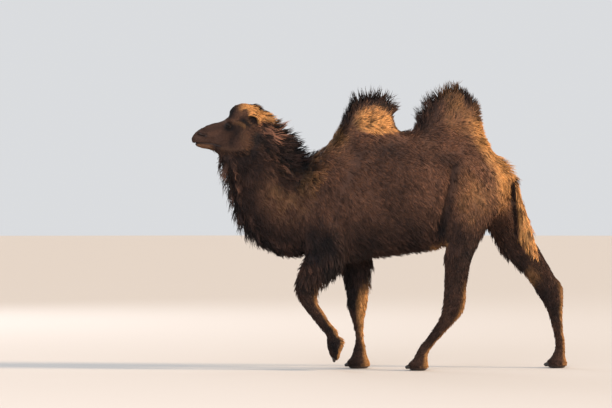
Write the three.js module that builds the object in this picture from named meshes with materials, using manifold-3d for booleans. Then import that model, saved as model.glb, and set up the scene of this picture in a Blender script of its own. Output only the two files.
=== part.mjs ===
// Two-humped camel, life size, walking: three feet on the floor and the left forefoot swinging.
// Millimetres, +Z up. The nose points along -Y and the animal's left side along +X.
import * as THREE from 'three';
import { mergeVertices } from 'three/addons/utils/BufferGeometryUtils.js';
import Module from 'manifold-3d';

const wasm = await Module();
wasm.setup();

// ---- driving sizes ----
const gap = 0.4;                 // left between neighbouring pieces
const trunkSides = 22;           // points round a section of the trunk
const limbSides = 12;            // points round a section of a leg
const headSides = 16;            // points round a section of head, neck and humps
const smallSides = 10;           // points round a section of tail and ear

const eyeRadius = 21;
const eyePlace = [88, -1134, 1795];
const pasternHalf = 40;          // half thickness of a foot's upper end
const nail = { width: 19, length: 30, height: 17, apart: 38 };
const foreFoot = { length: 186, width: 180, pad: 34, cleft: 34 };
const hindFoot = { length: 166, width: 158, pad: 32, cleft: 28 };

// A section lies in a plane that holds the X axis. It is given by its two edge points in the side
// view, [y, z] each, the place of its middle in X, its half width, how far along from the second
// edge to the first it is widest (0.5 when left out), and how square it is (2 is an ellipse).
const trunkKeys = [
  [[-702, 1330], [-702, 1000], 0, 95, 0.5],
  [[-640, 1480], [-640, 898], 0, 165, 0.48],
  [[-560, 1562], [-560, 836], 0, 215, 0.46],
  [[-440, 1632], [-440, 806], 0, 256, 0.45],
  [[-250, 1700], [-250, 804], 0, 296, 0.43],
  [[-30, 1752], [-30, 830], 0, 326, 0.43],
  [[180, 1768], [180, 856], 0, 348, 0.45],
  [[360, 1760], [360, 880], 0, 350, 0.46],
  [[530, 1730], [530, 930], 0, 326, 0.48],
  [[680, 1684], [680, 1000], 0, 290, 0.51],
  [[810, 1618], [810, 1092], 0, 240, 0.54],
  [[905, 1536], [905, 1206], 0, 176, 0.56],
  [[965, 1446], [965, 1312], 0, 96, 0.56],
];
const frontHumpKeys = [
  [[-437, 1621], [200, 1665], 0, 205],
  [[-328, 1757], [134, 1774], 0, 162],
  [[-289, 1843], [97, 1850], 0, 128],
  [[-263, 1917], [92, 1920], 0, 96],
  [[-222, 1974], [76, 1985], 0, 66],
  [[-150, 2012], [40, 2022], 0, 38],
];
const rearHumpKeys = [
  [[120, 1640], [866, 1576], 0, 215],
  [[236, 1778], [762, 1732], 0, 168],
  [[276, 1865], [742, 1843], 0, 132],
  [[316, 1939], [726, 1931], 0, 100],
  [[384, 2016], [680, 2002], 0, 72],
  [[455, 2078], [626, 2066], 0, 42],
];
const neckKeys = [
  [[-1132, 1700], [-920, 1880], 0, 78],
  [[-1214, 1580], [-742, 1811], 0, 98, 0.5, 1.9],
  [[-1191, 1502], [-652, 1745], 0, 108, 0.5, 1.8],
  [[-1162, 1391], [-586, 1652], 0, 116, 0.5, 1.8],
  [[-1132, 1273], [-556, 1595], 0, 126, 0.5, 1.8],
  [[-1095, 1147], [-520, 1590], 0, 142, 0.5, 1.9],
  [[-1021, 1014], [-450, 1630], 0, 168, 0.5, 2],
  [[-910, 910], [-380, 1670], 0, 200, 0.5, 2],
  [[-770, 842], [-330, 1640], 0, 222, 0.5, 2],
  [[-620, 826], [-300, 1560], 0, 220, 0.5, 2],
];
const skullKeys = [
  [[-1390, 1719], [-1390, 1686], 0, 24],
  [[-1369, 1746], [-1369, 1671], 0, 45, 0.45],
  [[-1339, 1777], [-1339, 1666], 0, 56, 0.4],
  [[-1295, 1802], [-1295, 1665], 0, 58, 0.4],
  [[-1243, 1820], [-1243, 1658], 0, 62, 0.45],
  [[-1191, 1835], [-1191, 1650], 0, 72, 0.5],
  [[-1147, 1851], [-1147, 1643], 0, 88, 0.6],
  [[-1121, 1906], [-1121, 1635], 0, 99, 0.6, 2.2],
  [[-1088, 1957], [-1088, 1628], 0, 106, 0.6, 2.3],
  [[-1029, 1966], [-1029, 1628], 0, 108, 0.58, 2.3],
  [[-962, 1957], [-962, 1635], 0, 108, 0.55, 2.3],
  [[-895, 1935], [-895, 1650], 0, 100, 0.5, 2.2],
  [[-836, 1902], [-836, 1680], 0, 82],
  [[-790, 1856], [-790, 1722], 0, 52],
];
const jawKeys = [
  [[-1363, 1664], [-1363, 1650], 0, 24],
  [[-1339, 1672], [-1339, 1636], 0, 40],
  [[-1295, 1688], [-1295, 1626], 0, 46],
  [[-1243, 1702], [-1243, 1610], 0, 48],
  [[-1177, 1718], [-1177, 1610], 0, 58],
  [[-1103, 1732], [-1103, 1606], 0, 74],
  [[-1029, 1740], [-1029, 1601], 0, 84],
  [[-969, 1740], [-969, 1607], 0, 80],
  [[-910, 1718], [-910, 1638], 0, 58],
];
const tailKeys = [
  [[880, 1540], [940, 1490], 0, 38],
  [[930, 1413], [1005, 1400], 0, 40],
  [[958, 1288], [1037, 1290], 0, 36],
  [[984, 1162], [1078, 1162], 0, 40],
  [[1000, 1043], [1115, 1043], 0, 48],
  [[1022, 940], [1150, 930], 0, 44],
  [[1080, 862], [1160, 856], 0, 18],
];
const earKeys = [
  [[-978, 1806], [-936, 1786], 78, 15],
  [[-982, 1828], [-920, 1806], 92, 17],
  [[-976, 1856], [-906, 1834], 108, 16],
  [[-956, 1882], [-902, 1864], 122, 13],
  [[-932, 1900], [-908, 1890], 132, 7],
];

// The upper arm and the thigh belong to the trunk; each leg starts inside them.
const leftShoulderKeys = [
  [[-437, 1560], [-217, 1670], 140, 50],
  [[-577, 1325], [-173, 1428], 182, 84],
  [[-614, 1105], [-144, 1193], 200, 96],
  [[-612, 943], [-160, 985], 192, 94],
  [[-560, 850], [-250, 840], 184, 70],
];
const rightShoulderKeys = [
  [[-437, 1560], [-197, 1670], -140, 50],
  [[-560, 1325], [-133, 1428], -182, 84],
  [[-590, 1105], [-70, 1193], -200, 96],
  [[-560, 943], [-45, 975], -190, 92],
  [[-420, 850], [-80, 850], -176, 68],
];
const leftThighKeys = [
  [[600, 1540], [835, 1560], 128, 60],
  [[512, 1384], [922, 1398], 166, 100],
  [[480, 1215], [906, 1230], 188, 108],
  [[443, 1040], [790, 1046], 192, 98],
  [[443, 905], [712, 905], 190, 80],
];
const rightThighKeys = [
  [[606, 1550], [880, 1540], -128, 60],
  [[607, 1354], [985, 1354], -166, 100],
  [[683, 1160], [1048, 1205], -188, 106],
  [[780, 1015], [1116, 1085], -190, 92],
  [[870, 900], [1150, 1000], -188, 76],
];
const leftForelegKeys = [
  [[-555, 973], [-232, 958], 185, 74],
  [[-577, 840], [-283, 767], 185, 78],
  [[-614, 738], [-371, 679], 186, 72],
  [[-647, 642], [-467, 628], 188, 64],
  [[-643, 569], [-478, 565], 188, 60],
  [[-603, 488], [-471, 503], 187, 52],
  [[-533, 396], [-430, 437], 186, 42],
  [[-471, 319], [-382, 359], 184, 38],
  [[-415, 252], [-318, 297], 182, 43],
];
const rightForelegKeys = [
  [[-420, 966], [-123, 966], -178, 74],
  [[-376, 832], [-58, 840], -170, 78],
  [[-317, 743], [-63, 751], -156, 68],
  [[-283, 662], [-90, 669], -144, 60],
  [[-260, 558], [-94, 565], -130, 56],
  [[-262, 454], [-101, 461], -116, 56],
  [[-229, 373], [-121, 380], -104, 45],
  [[-201, 269], [-131, 269], -92, 38],
  [[-200, 173], [-118, 180], -84, 43],
];
const leftHindKeys = [
  [[451, 1002], [745, 1010], 190, 78],
  [[440, 863], [693, 870], 190, 78],
  [[455, 752], [645, 752], 190, 66],
  [[447, 627], [625, 627], 190, 57],
  [[442, 517], [620, 503], 190, 54],
  [[429, 429], [600, 422], 190, 49],
  [[396, 355], [503, 311], 190, 42],
  [[334, 260], [407, 212], 190, 38],
  [[270, 182], [348, 138], 190, 42],
];
const rightHindKeys = [
  [[790, 1011], [1095, 1100], -190, 80],
  [[869, 862], [1165, 975], -186, 77],
  [[951, 802], [1212, 892], -180, 70],
  [[1048, 713], [1249, 817], -174, 62],
  [[1122, 601], [1309, 713], -168, 57],
  [[1181, 512], [1356, 609], -162, 54],
  [[1225, 430], [1363, 527], -156, 49],
  [[1257, 341], [1352, 401], -150, 42],
  [[1280, 245], [1361, 267], -146, 38],
  [[1296, 148], [1376, 163], -142, 42],
];

// ---- shapes ----
// A closed triangle mesh, turned so that its faces point outwards.
function solid(points, triangles) {
  let volume = 0;
  const [a, b, c] = [new THREE.Vector3(), new THREE.Vector3(), new THREE.Vector3()];
  for (let i = 0; i < triangles.length; i += 3) {
    a.fromArray(points, 3 * triangles[i]);
    b.fromArray(points, 3 * triangles[i + 1]);
    c.fromArray(points, 3 * triangles[i + 2]);
    volume += a.dot(b.cross(c));
  }
  if (volume < 0) {
    triangles.reverse();
  }
  return new wasm.Manifold(new wasm.Mesh({
    numProp: 3,
    vertProperties: new Float32Array(points),
    triVerts: new Uint32Array(triangles),
  }));
}

// A skin drawn over a row of sections, each end rounded off over its dome length.
function loft(keys, { sides = trunkSides, domes = [0, 0] } = {}) {
  const rings = keys.map(([first, second, x, width, widest = 0.5, square = 2]) => {
    const along = new THREE.Vector2(...first).sub(new THREE.Vector2(...second));
    const length = along.length();
    const place = new THREE.Vector2(...second);
    return { along: along.normalize(), length, second: place, x, width, widest, square };
  });
  const middle = (ring) => ring.second.clone().addScaledVector(ring.along, ring.length / 2);
  const dome = (ring, inner, length) => {
    if (length === 0) {
      return [];
    }
    const out = new THREE.Vector2(-ring.along.y, ring.along.x);
    if (out.dot(middle(ring).sub(middle(inner))) < 0) {
      out.negate();
    }
    return [0.42, 0.8].map((turn) => {
      const scale = Math.cos(turn * Math.PI / 2);
      const shift = Math.sin(turn * Math.PI / 2) * length;
      const centre = middle(ring).addScaledVector(out, shift);
      return {
        ...ring,
        length: ring.length * scale,
        width: ring.width * scale,
        second: centre.addScaledVector(ring.along, -ring.length * scale / 2),
      };
    });
  };
  const all = [
    ...dome(rings[0], rings[1], domes[0]).reverse(),
    ...rings,
    ...dome(rings.at(-1), rings.at(-2), domes[1]),
  ];
  const points = [];
  for (const ring of all) {
    for (let s = 0; s < sides; s++) {
      const turn = 2 * Math.PI * s / sides;
      const [c, n] = [Math.cos(turn), Math.sin(turn)];
      const power = 2 / ring.square;
      const across = Math.sign(c) * Math.abs(c) ** power * ring.width;
      const reach = n > 0 ? ring.length * (1 - ring.widest) : ring.length * ring.widest;
      const up = ring.length * ring.widest + Math.sign(n) * Math.abs(n) ** power * reach;
      const place = ring.second.clone().addScaledVector(ring.along, up);
      points.push(ring.x + across, place.x, place.y);
    }
  }
  const triangles = [];
  for (let r = 0; r < all.length - 1; r++) {
    for (let s = 0; s < sides; s++) {
      const next = (s + 1) % sides;
      const [p, q] = [r * sides, (r + 1) * sides];
      triangles.push(p + s, p + next, q + next, p + s, q + next, q + s);
    }
  }
  for (const [ring, turned] of [[0, true], [all.length - 1, false]]) {
    const centre = points.length / 3;
    const { x } = all[ring];
    points.push(x, middle(all[ring]).x, middle(all[ring]).y);
    for (let s = 0; s < sides; s++) {
      const [p, q] = [ring * sides + s, ring * sides + (s + 1) % sides];
      triangles.push(...(turned ? [centre, q, p] : [centre, p, q]));
    }
  }
  return solid(points, triangles);
}

// A ball drawn out to three half sizes, turned about X and set in place.
function ball(place, [w, l, h], { tilt = 0, detail = 8, grow = 0 } = {}) {
  const shape = new THREE.SphereGeometry(1, detail, Math.round(detail * 0.7));
  shape.scale(w + grow, l + grow, h + grow);
  shape.rotateX(tilt);
  shape.translate(...place);
  shape.deleteAttribute('normal');
  shape.deleteAttribute('uv');
  const merged = mergeVertices(shape, 1e-3);
  return solid([...merged.attributes.position.array], [...merged.index.array]);
}

function joined(...shapes) {
  return shapes.reduce((whole, shape) => whole.add(shape));
}

function without(shape, ...others) {
  return others.reduce((whole, other) => whole.subtract(other), shape);
}

// ---- feet ----
// A foot stands on z = 0 with the middle of its pad at the origin. Its fetlock lies the given height
// up and the given length back, and leans forward by its slope. The rows run up from the sole:
// height, half length, half width and the share of the fetlock's place reached.
function footShape({ length, width, pad }, { height, back, slope }) {
  const rows = [
    [0, length * 0.44, width * 0.44, 0],
    [9, length * 0.49, width * 0.49, 0],
    [pad, length * 0.5, width * 0.5, 0],
    [pad * 1.9, length * 0.43, width * 0.42, 0.1],
    [pad * 2.6, length * 0.33, width * 0.32, 0.4],
    [height, pasternHalf, pasternHalf, 1],
  ];
  return loft(rows.map(([z, halfLength, halfWidth, share]) => [
    [back * share - halfLength, z + slope * share],
    [back * share + halfLength, z - slope * share],
    0,
    halfWidth,
  ]), { sides: limbSides });
}

const cleftShape = ({ length, pad, cleft }) => ball(
  [0, -length * 0.52, -6],
  [5, cleft, pad * 2.1],
  { detail: 6 },
);

const nailShape = ({ length, pad }, side, grow = 0) => ball(
  [side * nail.apart, -length * 0.44, pad * 0.82],
  [nail.width, nail.length, nail.height],
  { tilt: 0.35, detail: 7, grow },
);

// Every foot is made standing, tipped toes down by its tip in degrees, and moved to its place.
const feet = {
  front_left: {
    size: foreFoot,
    fetlock: { height: 112, back: 88, slope: 25 },
    place: [182, -302, 150],
    tip: 70,
  },
  front_right: {
    size: foreFoot,
    fetlock: { height: 182, back: 14, slope: 0 },
    place: [-84, -172, 0],
    tip: 0,
  },
  rear_left: {
    size: hindFoot,
    fetlock: { height: 160, back: 44, slope: 12 },
    place: [190, 262, 0],
    tip: 0,
  },
  rear_right: {
    size: hindFoot,
    fetlock: { height: 160, back: 30, slope: 0 },
    place: [-142, 1306, 0],
    tip: 0,
  },
};
const placed = ({ place, tip }, shape) => shape.rotate([tip, 0, 0]).translate(place);
const eachFoot = (make) => Object.values(feet)
  .flatMap((foot) => make(foot).map((shape) => placed(foot, shape)));

// ---- the whole animal ----
const leftAndRight = (make) => [1, -1].map(make);
const otherWay = (keys) => keys.map(([first, second, x, ...sizes]) => [first, second, -x, ...sizes]);

// The ear is a leaf with a hollow that opens forwards and out.
const earHollowKeys = earKeys.slice(1).map(([front, back, x, width], i) => [
  [front[0] + 10, front[1] - 3], [back[0] - 10, back[1] + 3], x + 9, width * [0.75, 0.7, 0.65, 0.4][i],
]);

const whole = without(
  joined(
    loft(trunkKeys, { domes: [34, 26] }),
    ...[leftShoulderKeys, rightShoulderKeys, leftThighKeys, rightThighKeys]
      .map((keys) => loft(keys, { sides: limbSides, domes: [30, 0] })),
    ...[frontHumpKeys, rearHumpKeys].map((keys) => loft(keys, { sides: headSides, domes: [0, 24] })),
    loft(neckKeys, { sides: headSides }),
    loft(skullKeys, { sides: headSides, domes: [9, 16] }),
    loft(jawKeys, { sides: limbSides, domes: [7, 16] }),
    ...leftAndRight((side) => ball([side * 78, -1098, 1828], [30, 62, 24], { tilt: -0.25 })),
    ...leftAndRight((side) => ball([side * 58, -1010, 1690], [40, 92, 62], { tilt: 0.3 })),
    ...[earKeys, otherWay(earKeys)].map((keys) => loft(keys, { sides: smallSides, domes: [0, 5] })),
    loft(tailKeys, { sides: smallSides, domes: [0, 16] }),
    ...[leftForelegKeys, rightForelegKeys, leftHindKeys, rightHindKeys]
      .map((keys) => loft(keys, { sides: limbSides, domes: [0, 8] })),
    ...eachFoot(({ size, fetlock }) => [footShape(size, fetlock)]),
  ),
  ...[earHollowKeys, otherWay(earHollowKeys)].map((keys) => loft(keys, { sides: smallSides })),
  ...leftAndRight((side) => ball([side * 41, -1352, 1737], [14, 17, 6], { tilt: 0.9, detail: 6 })),
  ...leftAndRight((side) => ball([side * eyePlace[0], eyePlace[1], eyePlace[2]],
    [eyeRadius, eyeRadius, eyeRadius], { detail: 10, grow: gap })),
  ...eachFoot(({ size }) => [cleftShape(size), ...leftAndRight((side) => nailShape(size, side, gap))]),
);

// ---- the cuts that part it ----
// Each region is a prism between two values of X. In the side view it is bounded by the line of the
// cut and by far corners out in the air. The rest is cut back by the shift, which leaves the gap.
const leftSide = [20, 400];
const rightSide = [-400, 14];
const cuts = {
  ear_left: {
    x: [109, 300],
    line: [[-1010, 1780], [-870, 1780]],
    far: [[-870, 1930], [-1010, 1930]],
    shift: [0, 0],
  },
  ear_right: {
    x: [-300, -109],
    line: [[-1010, 1780], [-870, 1780]],
    far: [[-870, 1930], [-1010, 1930]],
    shift: [0, 0],
  },
  foot_front_left: {
    x: leftSide,
    line: [[-430, 236], [-290, 318]],
    far: [[-200, 300], [-200, -50], [-480, -50]],
    shift: [-0.25, 0.4],
  },
  foot_front_right: {
    x: rightSide,
    line: [[-280, 168], [-60, 168]],
    far: [[-60, -50], [-280, -50]],
    shift: [0, 0.4],
  },
  foot_rear_left: {
    x: leftSide,
    line: [[225, 172], [400, 112]],
    far: [[400, -50], [130, -50], [130, 172]],
    shift: [0, 0.45],
  },
  foot_rear_right: {
    x: rightSide,
    line: [[1180, 148], [1430, 148]],
    far: [[1430, -50], [1180, -50]],
    shift: [0, 0.4],
  },
  leg_front_left: {
    x: leftSide,
    line: [[-750, 800], [-215, 800]],
    far: [[-215, -50], [-750, -50]],
    shift: [0, 0.4],
  },
  leg_front_right: {
    x: rightSide,
    line: [[-500, 800], [50, 800]],
    far: [[50, -50], [-500, -50]],
    shift: [0, 0.4],
  },
  leg_rear_left: {
    x: leftSide,
    line: [[400, 880], [800, 880]],
    far: [[800, -50], [130, -50]],
    shift: [0, 0.4],
  },
  leg_rear_right: {
    x: [-400, -60],
    line: [[770, 800], [1250, 1080]],
    far: [[1500, 1080], [1500, -50], [770, -50]],
    shift: [-0.2, 0.4],
  },
  head: {
    line: [[-1500, 1590], [-930, 1606], [-730, 1880]],
    far: [[-730, 2300], [-1500, 2300]],
    shift: [0.4, -0.4],
  },
  hump_front: {
    line: [[-480, 1716], [190, 1786]],
    far: [[190, 2300], [-480, 2300]],
    shift: [0, -0.4],
  },
  hump_rear: {
    line: [[200, 1786], [910, 1597]],
    far: [[910, 2300], [200, 2300]],
    shift: [0, -0.4],
  },
  neck: {
    line: [[-430, 1760], [-600, 1250], [-644, 1000], [-600, 700]],
    far: [[-1500, 700], [-1500, 2200], [-430, 2200]],
    shift: [0.45, 0],
  },
  tail: {
    x: [-60, 60],
    line: [[930, 900], [972, 1290], [1000, 1430], [1140, 1430]],
    far: [[1300, 700], [930, 700]],
    shift: [-0.45, 0.45],
  },
};

// A prism over a polygon of the side view.
function prism(corners, [from, to]) {
  const shape = new THREE.Shape(corners.map((corner) => new THREE.Vector2(...corner)));
  const extruded = new THREE.ExtrudeGeometry(shape, { depth: to - from, bevelEnabled: false });
  extruded.deleteAttribute('normal');
  extruded.deleteAttribute('uv');
  const merged = mergeVertices(extruded, 1e-3);
  const { array } = merged.attributes.position;
  const points = [];
  for (let i = 0; i < array.length; i += 3) {
    points.push(from + array[i + 2], array[i], array[i + 1]);
  }
  return solid(points, [...merged.index.array]);
}

const pieces = {};
let rest = whole;
for (const [name, { x = [-600, 600], line, far, shift }] of Object.entries(cuts)) {
  const moved = line.map(([y, z]) => [y + shift[0], z + shift[1]]);
  pieces[name] = rest.intersect(prism([...line, ...far], x));
  rest = rest.subtract(prism([...moved, ...far], [x[0] - gap, x[1] + gap]));
}
pieces.trunk = rest;

leftAndRight((side) => side).forEach((side) => {
  pieces[`eye_${side > 0 ? 'left' : 'right'}`] = ball([side * eyePlace[0], eyePlace[1], eyePlace[2]],
    [eyeRadius, eyeRadius, eyeRadius], { detail: 10 });
});
for (const [name, foot] of Object.entries(feet)) {
  ['left', 'right'].forEach((word, i) => {
    pieces[`nail_${name}_${word}`] = placed(foot, nailShape(foot.size, i === 0 ? 1 : -1));
  });
}

// ---- colours ----
const looks = [
  [/^eye/, '#17100c', 0.1],
  [/^nail/, '#2a231f', 0.5],
  [/^(neck|leg|foot)/, '#2b2324', 0.9],
  [/./, '#5a4038', 0.9],
];

const group = new THREE.Group();
for (const [name, shape] of Object.entries(pieces)) {
  const { numProp, vertProperties, triVerts } = shape.getMesh();
  const geometry = new THREE.BufferGeometry();
  geometry.setAttribute('position', new THREE.Float32BufferAttribute(vertProperties, numProp));
  geometry.setIndex([...triVerts]);
  const [, color, roughness] = looks.find(([pattern]) => pattern.test(name));
  const mesh = new THREE.Mesh(geometry, new THREE.MeshStandardMaterial({ color, roughness, metalness: 0 }));
  mesh.name = name;
  group.add(mesh);
}

// The origin is moved to the middle of the whole, on the floor.
const box = new THREE.Box3().setFromObject(group);
const centre = box.getCenter(new THREE.Vector3());
group.children.forEach((mesh) => mesh.geometry.translate(-centre.x, -centre.y, -box.min.z));

export default group;
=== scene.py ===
import math
import bpy
import numpy as np
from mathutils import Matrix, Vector


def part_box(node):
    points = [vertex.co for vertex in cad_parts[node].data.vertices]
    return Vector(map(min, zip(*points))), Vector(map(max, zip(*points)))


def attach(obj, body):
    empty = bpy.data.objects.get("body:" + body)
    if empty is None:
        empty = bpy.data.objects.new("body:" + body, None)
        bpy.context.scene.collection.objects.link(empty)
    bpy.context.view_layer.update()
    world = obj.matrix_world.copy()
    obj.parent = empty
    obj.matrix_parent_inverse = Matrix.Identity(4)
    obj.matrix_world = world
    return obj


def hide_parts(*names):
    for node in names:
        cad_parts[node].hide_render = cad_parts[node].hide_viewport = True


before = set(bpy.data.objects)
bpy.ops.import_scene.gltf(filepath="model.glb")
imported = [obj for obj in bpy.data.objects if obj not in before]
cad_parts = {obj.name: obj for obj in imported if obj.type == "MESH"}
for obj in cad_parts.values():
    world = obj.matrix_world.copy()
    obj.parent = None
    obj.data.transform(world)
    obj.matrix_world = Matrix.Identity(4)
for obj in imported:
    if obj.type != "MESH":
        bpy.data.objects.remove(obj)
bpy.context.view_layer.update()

scene = bpy.context.scene
rng = np.random.default_rng(11)


def linear(hexColour):
    # sRGB hex to the linear colour that a shader wants
    parts = [int(hexColour[i:i + 2], 16) / 255 for i in (1, 3, 5)]
    return [p / 12.92 if p <= 0.04045 else ((p + 0.055) / 1.055) ** 2.4 for p in parts] + [1.0]


def setInputs(tree, node, inputs):
    # each input is either linked or given a value
    for name, value in inputs.items():
        if isinstance(value, bpy.types.NodeSocket):
            tree.links.new(value, node.inputs[name])
        else:
            node.inputs[name].default_value = value


def addNode(tree, kind, inputs=None, output=0, **settings):
    # one node with its inputs and settings, of which one output is wanted
    node = tree.nodes.new("ShaderNode" + kind)
    for name, value in settings.items():
        setattr(node, name, value)
    setInputs(tree, node, inputs or {})
    return node.outputs[output]


def newMaterial(name):
    # the material, its node tree and its shader
    material = bpy.data.materials.new(name)
    material.use_nodes = True
    return material, material.node_tree, material.node_tree.nodes["Principled BSDF"]


def finishPiece(piece, material, slot, *replaced):
    # smooth, in its material, and told to the frame
    piece.data.polygons.foreach_set("use_smooth", np.ones(len(piece.data.polygons), bool))
    piece.data.materials.clear()
    piece.data.materials.append(material)
    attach(piece, "root")
    if replaced:
        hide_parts(*replaced)


def selectOnly(obj):
    bpy.ops.object.select_all(action="DESELECT")
    obj.select_set(True)
    bpy.context.view_layer.objects.active = obj


def editAll(obj, operator, **settings):
    # runs an edit-mode operator on the whole mesh
    selectOnly(obj)
    bpy.ops.object.mode_set(mode="EDIT")
    bpy.ops.mesh.select_all(action="SELECT")
    operator(**settings)
    bpy.ops.object.mode_set(mode="OBJECT")


def rowsOf(items, key, width, kind=np.float32):
    # one property of every vertex, edge, face or corner, a row each
    rows = np.empty(len(items) * width, kind)
    items.foreach_get(key, rows)
    return rows.reshape(-1, width)


def coordsOf(mesh):
    return rowsOf(mesh.vertices, "co", 3).astype(float)


def normalsOf(mesh):
    return rowsOf(mesh.vertex_normals, "vector", 3).astype(float)


def edgesOf(mesh):
    return rowsOf(mesh.edges, "vertices", 2, np.int32)


def setCoords(mesh, co):
    mesh.vertices.foreach_set("co", co.astype(np.float32).ravel())
    mesh.update()


def unitRows(rows):
    return rows / np.linalg.norm(rows, axis=-1)[..., None].clip(1e-9)


def relax(co, edges, share, rounds):
    # evens out each vertex towards its neighbours' middle, by its own share
    count = len(co)
    neighbours = np.bincount(edges.ravel(), minlength=count).clip(1)
    share = (share * np.ones(count))[:, None]
    for _ in range(rounds):
        total = np.empty_like(co)
        for axis in range(3):
            total[:, axis] = (
                np.bincount(edges[:, 0], co[edges[:, 1], axis], minlength=count)
                + np.bincount(edges[:, 1], co[edges[:, 0], axis], minlength=count)
            )
        co = co + share * (total / neighbours[:, None] - co)
    return co


def ramp(value, low, high):
    # 0 below low, 1 above high, smooth between
    t = np.clip((value - low) / (high - low), 0, 1)
    return t * t * (3 - 2 * t)


def inside(co, centre, radii):
    # 1 in the middle of an ellipsoid, falling smoothly to 0 at its surface
    distance = np.sqrt((((co - np.array(centre)) / np.array(radii)) ** 2).sum(1))
    return 1 - ramp(distance, 0, 1)


def blob(co, middle, radii):
    # the same for an ellipse in the side view, on both flanks
    return inside(co[:, 1:], middle, radii)


def near(co, line, reach, core=None):
    # 1 at the core of a line drawn in the side view, falling smoothly to 0 at its reach
    points = np.array(line, float)
    distance = np.full(len(co), 1e9)
    for a, b in zip(points[:-1], points[1:]):
        long = np.linalg.norm(b - a)
        step = (b - a) / long
        t = np.clip((co[:, 1:] - a) @ step, 0, long)
        distance = np.minimum(distance, np.linalg.norm(co[:, 1:] - (a + t[:, None] * step), axis=1))
    return 1 - ramp(distance, 0.25 * reach if core is None else core, reach)


view = {
    "distance": 24.0,        # far off, as a long lens sees it
    "height": 1.384,
    "aim": (-0.556, 1.221),  # the middle of the picture, along the body and up
    "acrossPicture": 4.529,  # metres that the picture's width takes in at the animal
    "sensor": 36,
    "farEnd": 200,
}
cameraData = bpy.data.cameras.new("camera")
cameraData.sensor_width = view["sensor"]
cameraData.lens = view["sensor"] * view["distance"] / view["acrossPicture"]
cameraData.clip_end = view["farEnd"]
camera = bpy.data.objects.new("camera", cameraData)
scene.collection.objects.link(camera)
camera.location = (view["distance"], view["aim"][0], view["height"])
lookAt = Vector((0, view["aim"][0], view["aim"][1])) - camera.location
camera.rotation_euler = lookAt.to_track_quat("-Z", "Y").to_euler()
scene.camera = camera

studio = {"floorRadius": 60, "floor": "#cdc9c4", "air": "#f1f3f6", "airStrength": 0.8}
bpy.ops.mesh.primitive_circle_add(vertices=96, radius=studio["floorRadius"], fill_type="NGON")
floor = bpy.context.object
floor.name = "floor"
floorPaint, tree, shader = newMaterial("matt floor paint")
setInputs(tree, shader, {
    "Base Color": linear(studio["floor"]), "Roughness": 0.95, "Specular IOR Level": 0.1,
})
floor.data.materials.append(floorPaint)

lights = {
    # kind, where it shines from, what it aims at, softness (a sun's angle, a panel's size), strength, colour
    "lowSun": ("SUN", (1.6, 9.0, 4.0), (0, 0, 0), math.radians(9.0), 4.6, "#ffdcb8"),
    "sideFill": ("AREA", (11.0, -3.5, 6.0), (0, 0, 1.1), 6.0, 420, "#f3f4ff"),
    "farFill": ("AREA", (-9.0, -6.0, 6.0), (0, 0, 1.1), 6.0, 380, "#eef3ff"),
}
for name, (kind, place, aim, softness, strength, colour) in lights.items():
    lightData = bpy.data.lights.new(name, kind)
    setattr(lightData, "angle" if kind == "SUN" else "size", softness)
    lightData.energy = strength
    lightData.color = linear(colour)[:3]
    light = bpy.data.objects.new(name, lightData)
    scene.collection.objects.link(light)
    light.location = place
    light.rotation_euler = (Vector(aim) - light.location).to_track_quat("-Z", "Y").to_euler()
world = bpy.data.worlds.new("studio air")
world.use_nodes = True
setInputs(world.node_tree, world.node_tree.nodes["Background"], {
    "Color": linear(studio["air"]), "Strength": studio["airStrength"],
})
scene.world = world
scene.view_settings.view_transform = "Standard"
print("camera, floor and light set")

# places are in metres: X to the animal's left, Y towards the tail, Z up
skinSizes = {
    "voxel": 0.0165,
    "smoothRounds": 80,
    "smoothLeast": 0.08,   # how much head, legs and feet are evened out, and the body on top of that
    "smoothBody": 0.5,
    "keepRounds": 30,
    "shrinkSteps": 5,
    "neckDepth": 0.026,    # how deep the skin lies under the tips of the coat
    "napeDepth": 0.034,
    "throatDepth": 0.016,
    "pollDepth": 0.012,
    "trunkDepth": 0.018,
    "tailDepth": 0.008,
    "legDepth": 0.005,
    "footDepth": 0.002,
    "headDepth": 0.0015,
    "crestFrom": 1.8,      # above this the humps lose height to their crest of long hair
    "crestKeeps": 0.93,
    "lowest": 0.0005,
}
napeLine = [(-0.86, 1.91), (-0.76, 1.83), (-0.67, 1.74), (-0.58, 1.64)]
throatLine = [
    (-1.22, 1.62), (-1.17, 1.45), (-1.15, 1.3), (-1.08, 1.1), (-0.95, 0.93), (-0.8, 0.85), (-0.57, 0.83),
]
flesh = [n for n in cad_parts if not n.startswith(("eye", "nail", "ear"))]
nails = [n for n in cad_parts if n.startswith("nail")]
nailAt = {n: (np.array(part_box(n)[0]) + np.array(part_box(n)[1])) / 2 for n in nails}


def copiesJoined(names, title):
    bpy.ops.object.select_all(action="DESELECT")
    for name in names:
        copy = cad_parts[name].copy()
        copy.data = copy.data.copy()
        copy.parent = None
        for key in list(copy.keys()):
            del copy[key]
        scene.collection.objects.link(copy)
        copy.select_set(True)
        bpy.context.view_layer.objects.active = copy
    if len(names) > 1:
        bpy.ops.object.join()
    joined = bpy.context.object
    joined.name = title
    editAll(joined, bpy.ops.mesh.remove_doubles, threshold=0.0001)
    return joined


def applyModifier(obj, kind, settings):
    modifier = obj.modifiers.new(kind.lower(), kind)
    for name, value in settings.items():
        setattr(modifier, name, value)
    selectOnly(obj)
    bpy.ops.object.modifier_apply(modifier=modifier.name)


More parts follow.
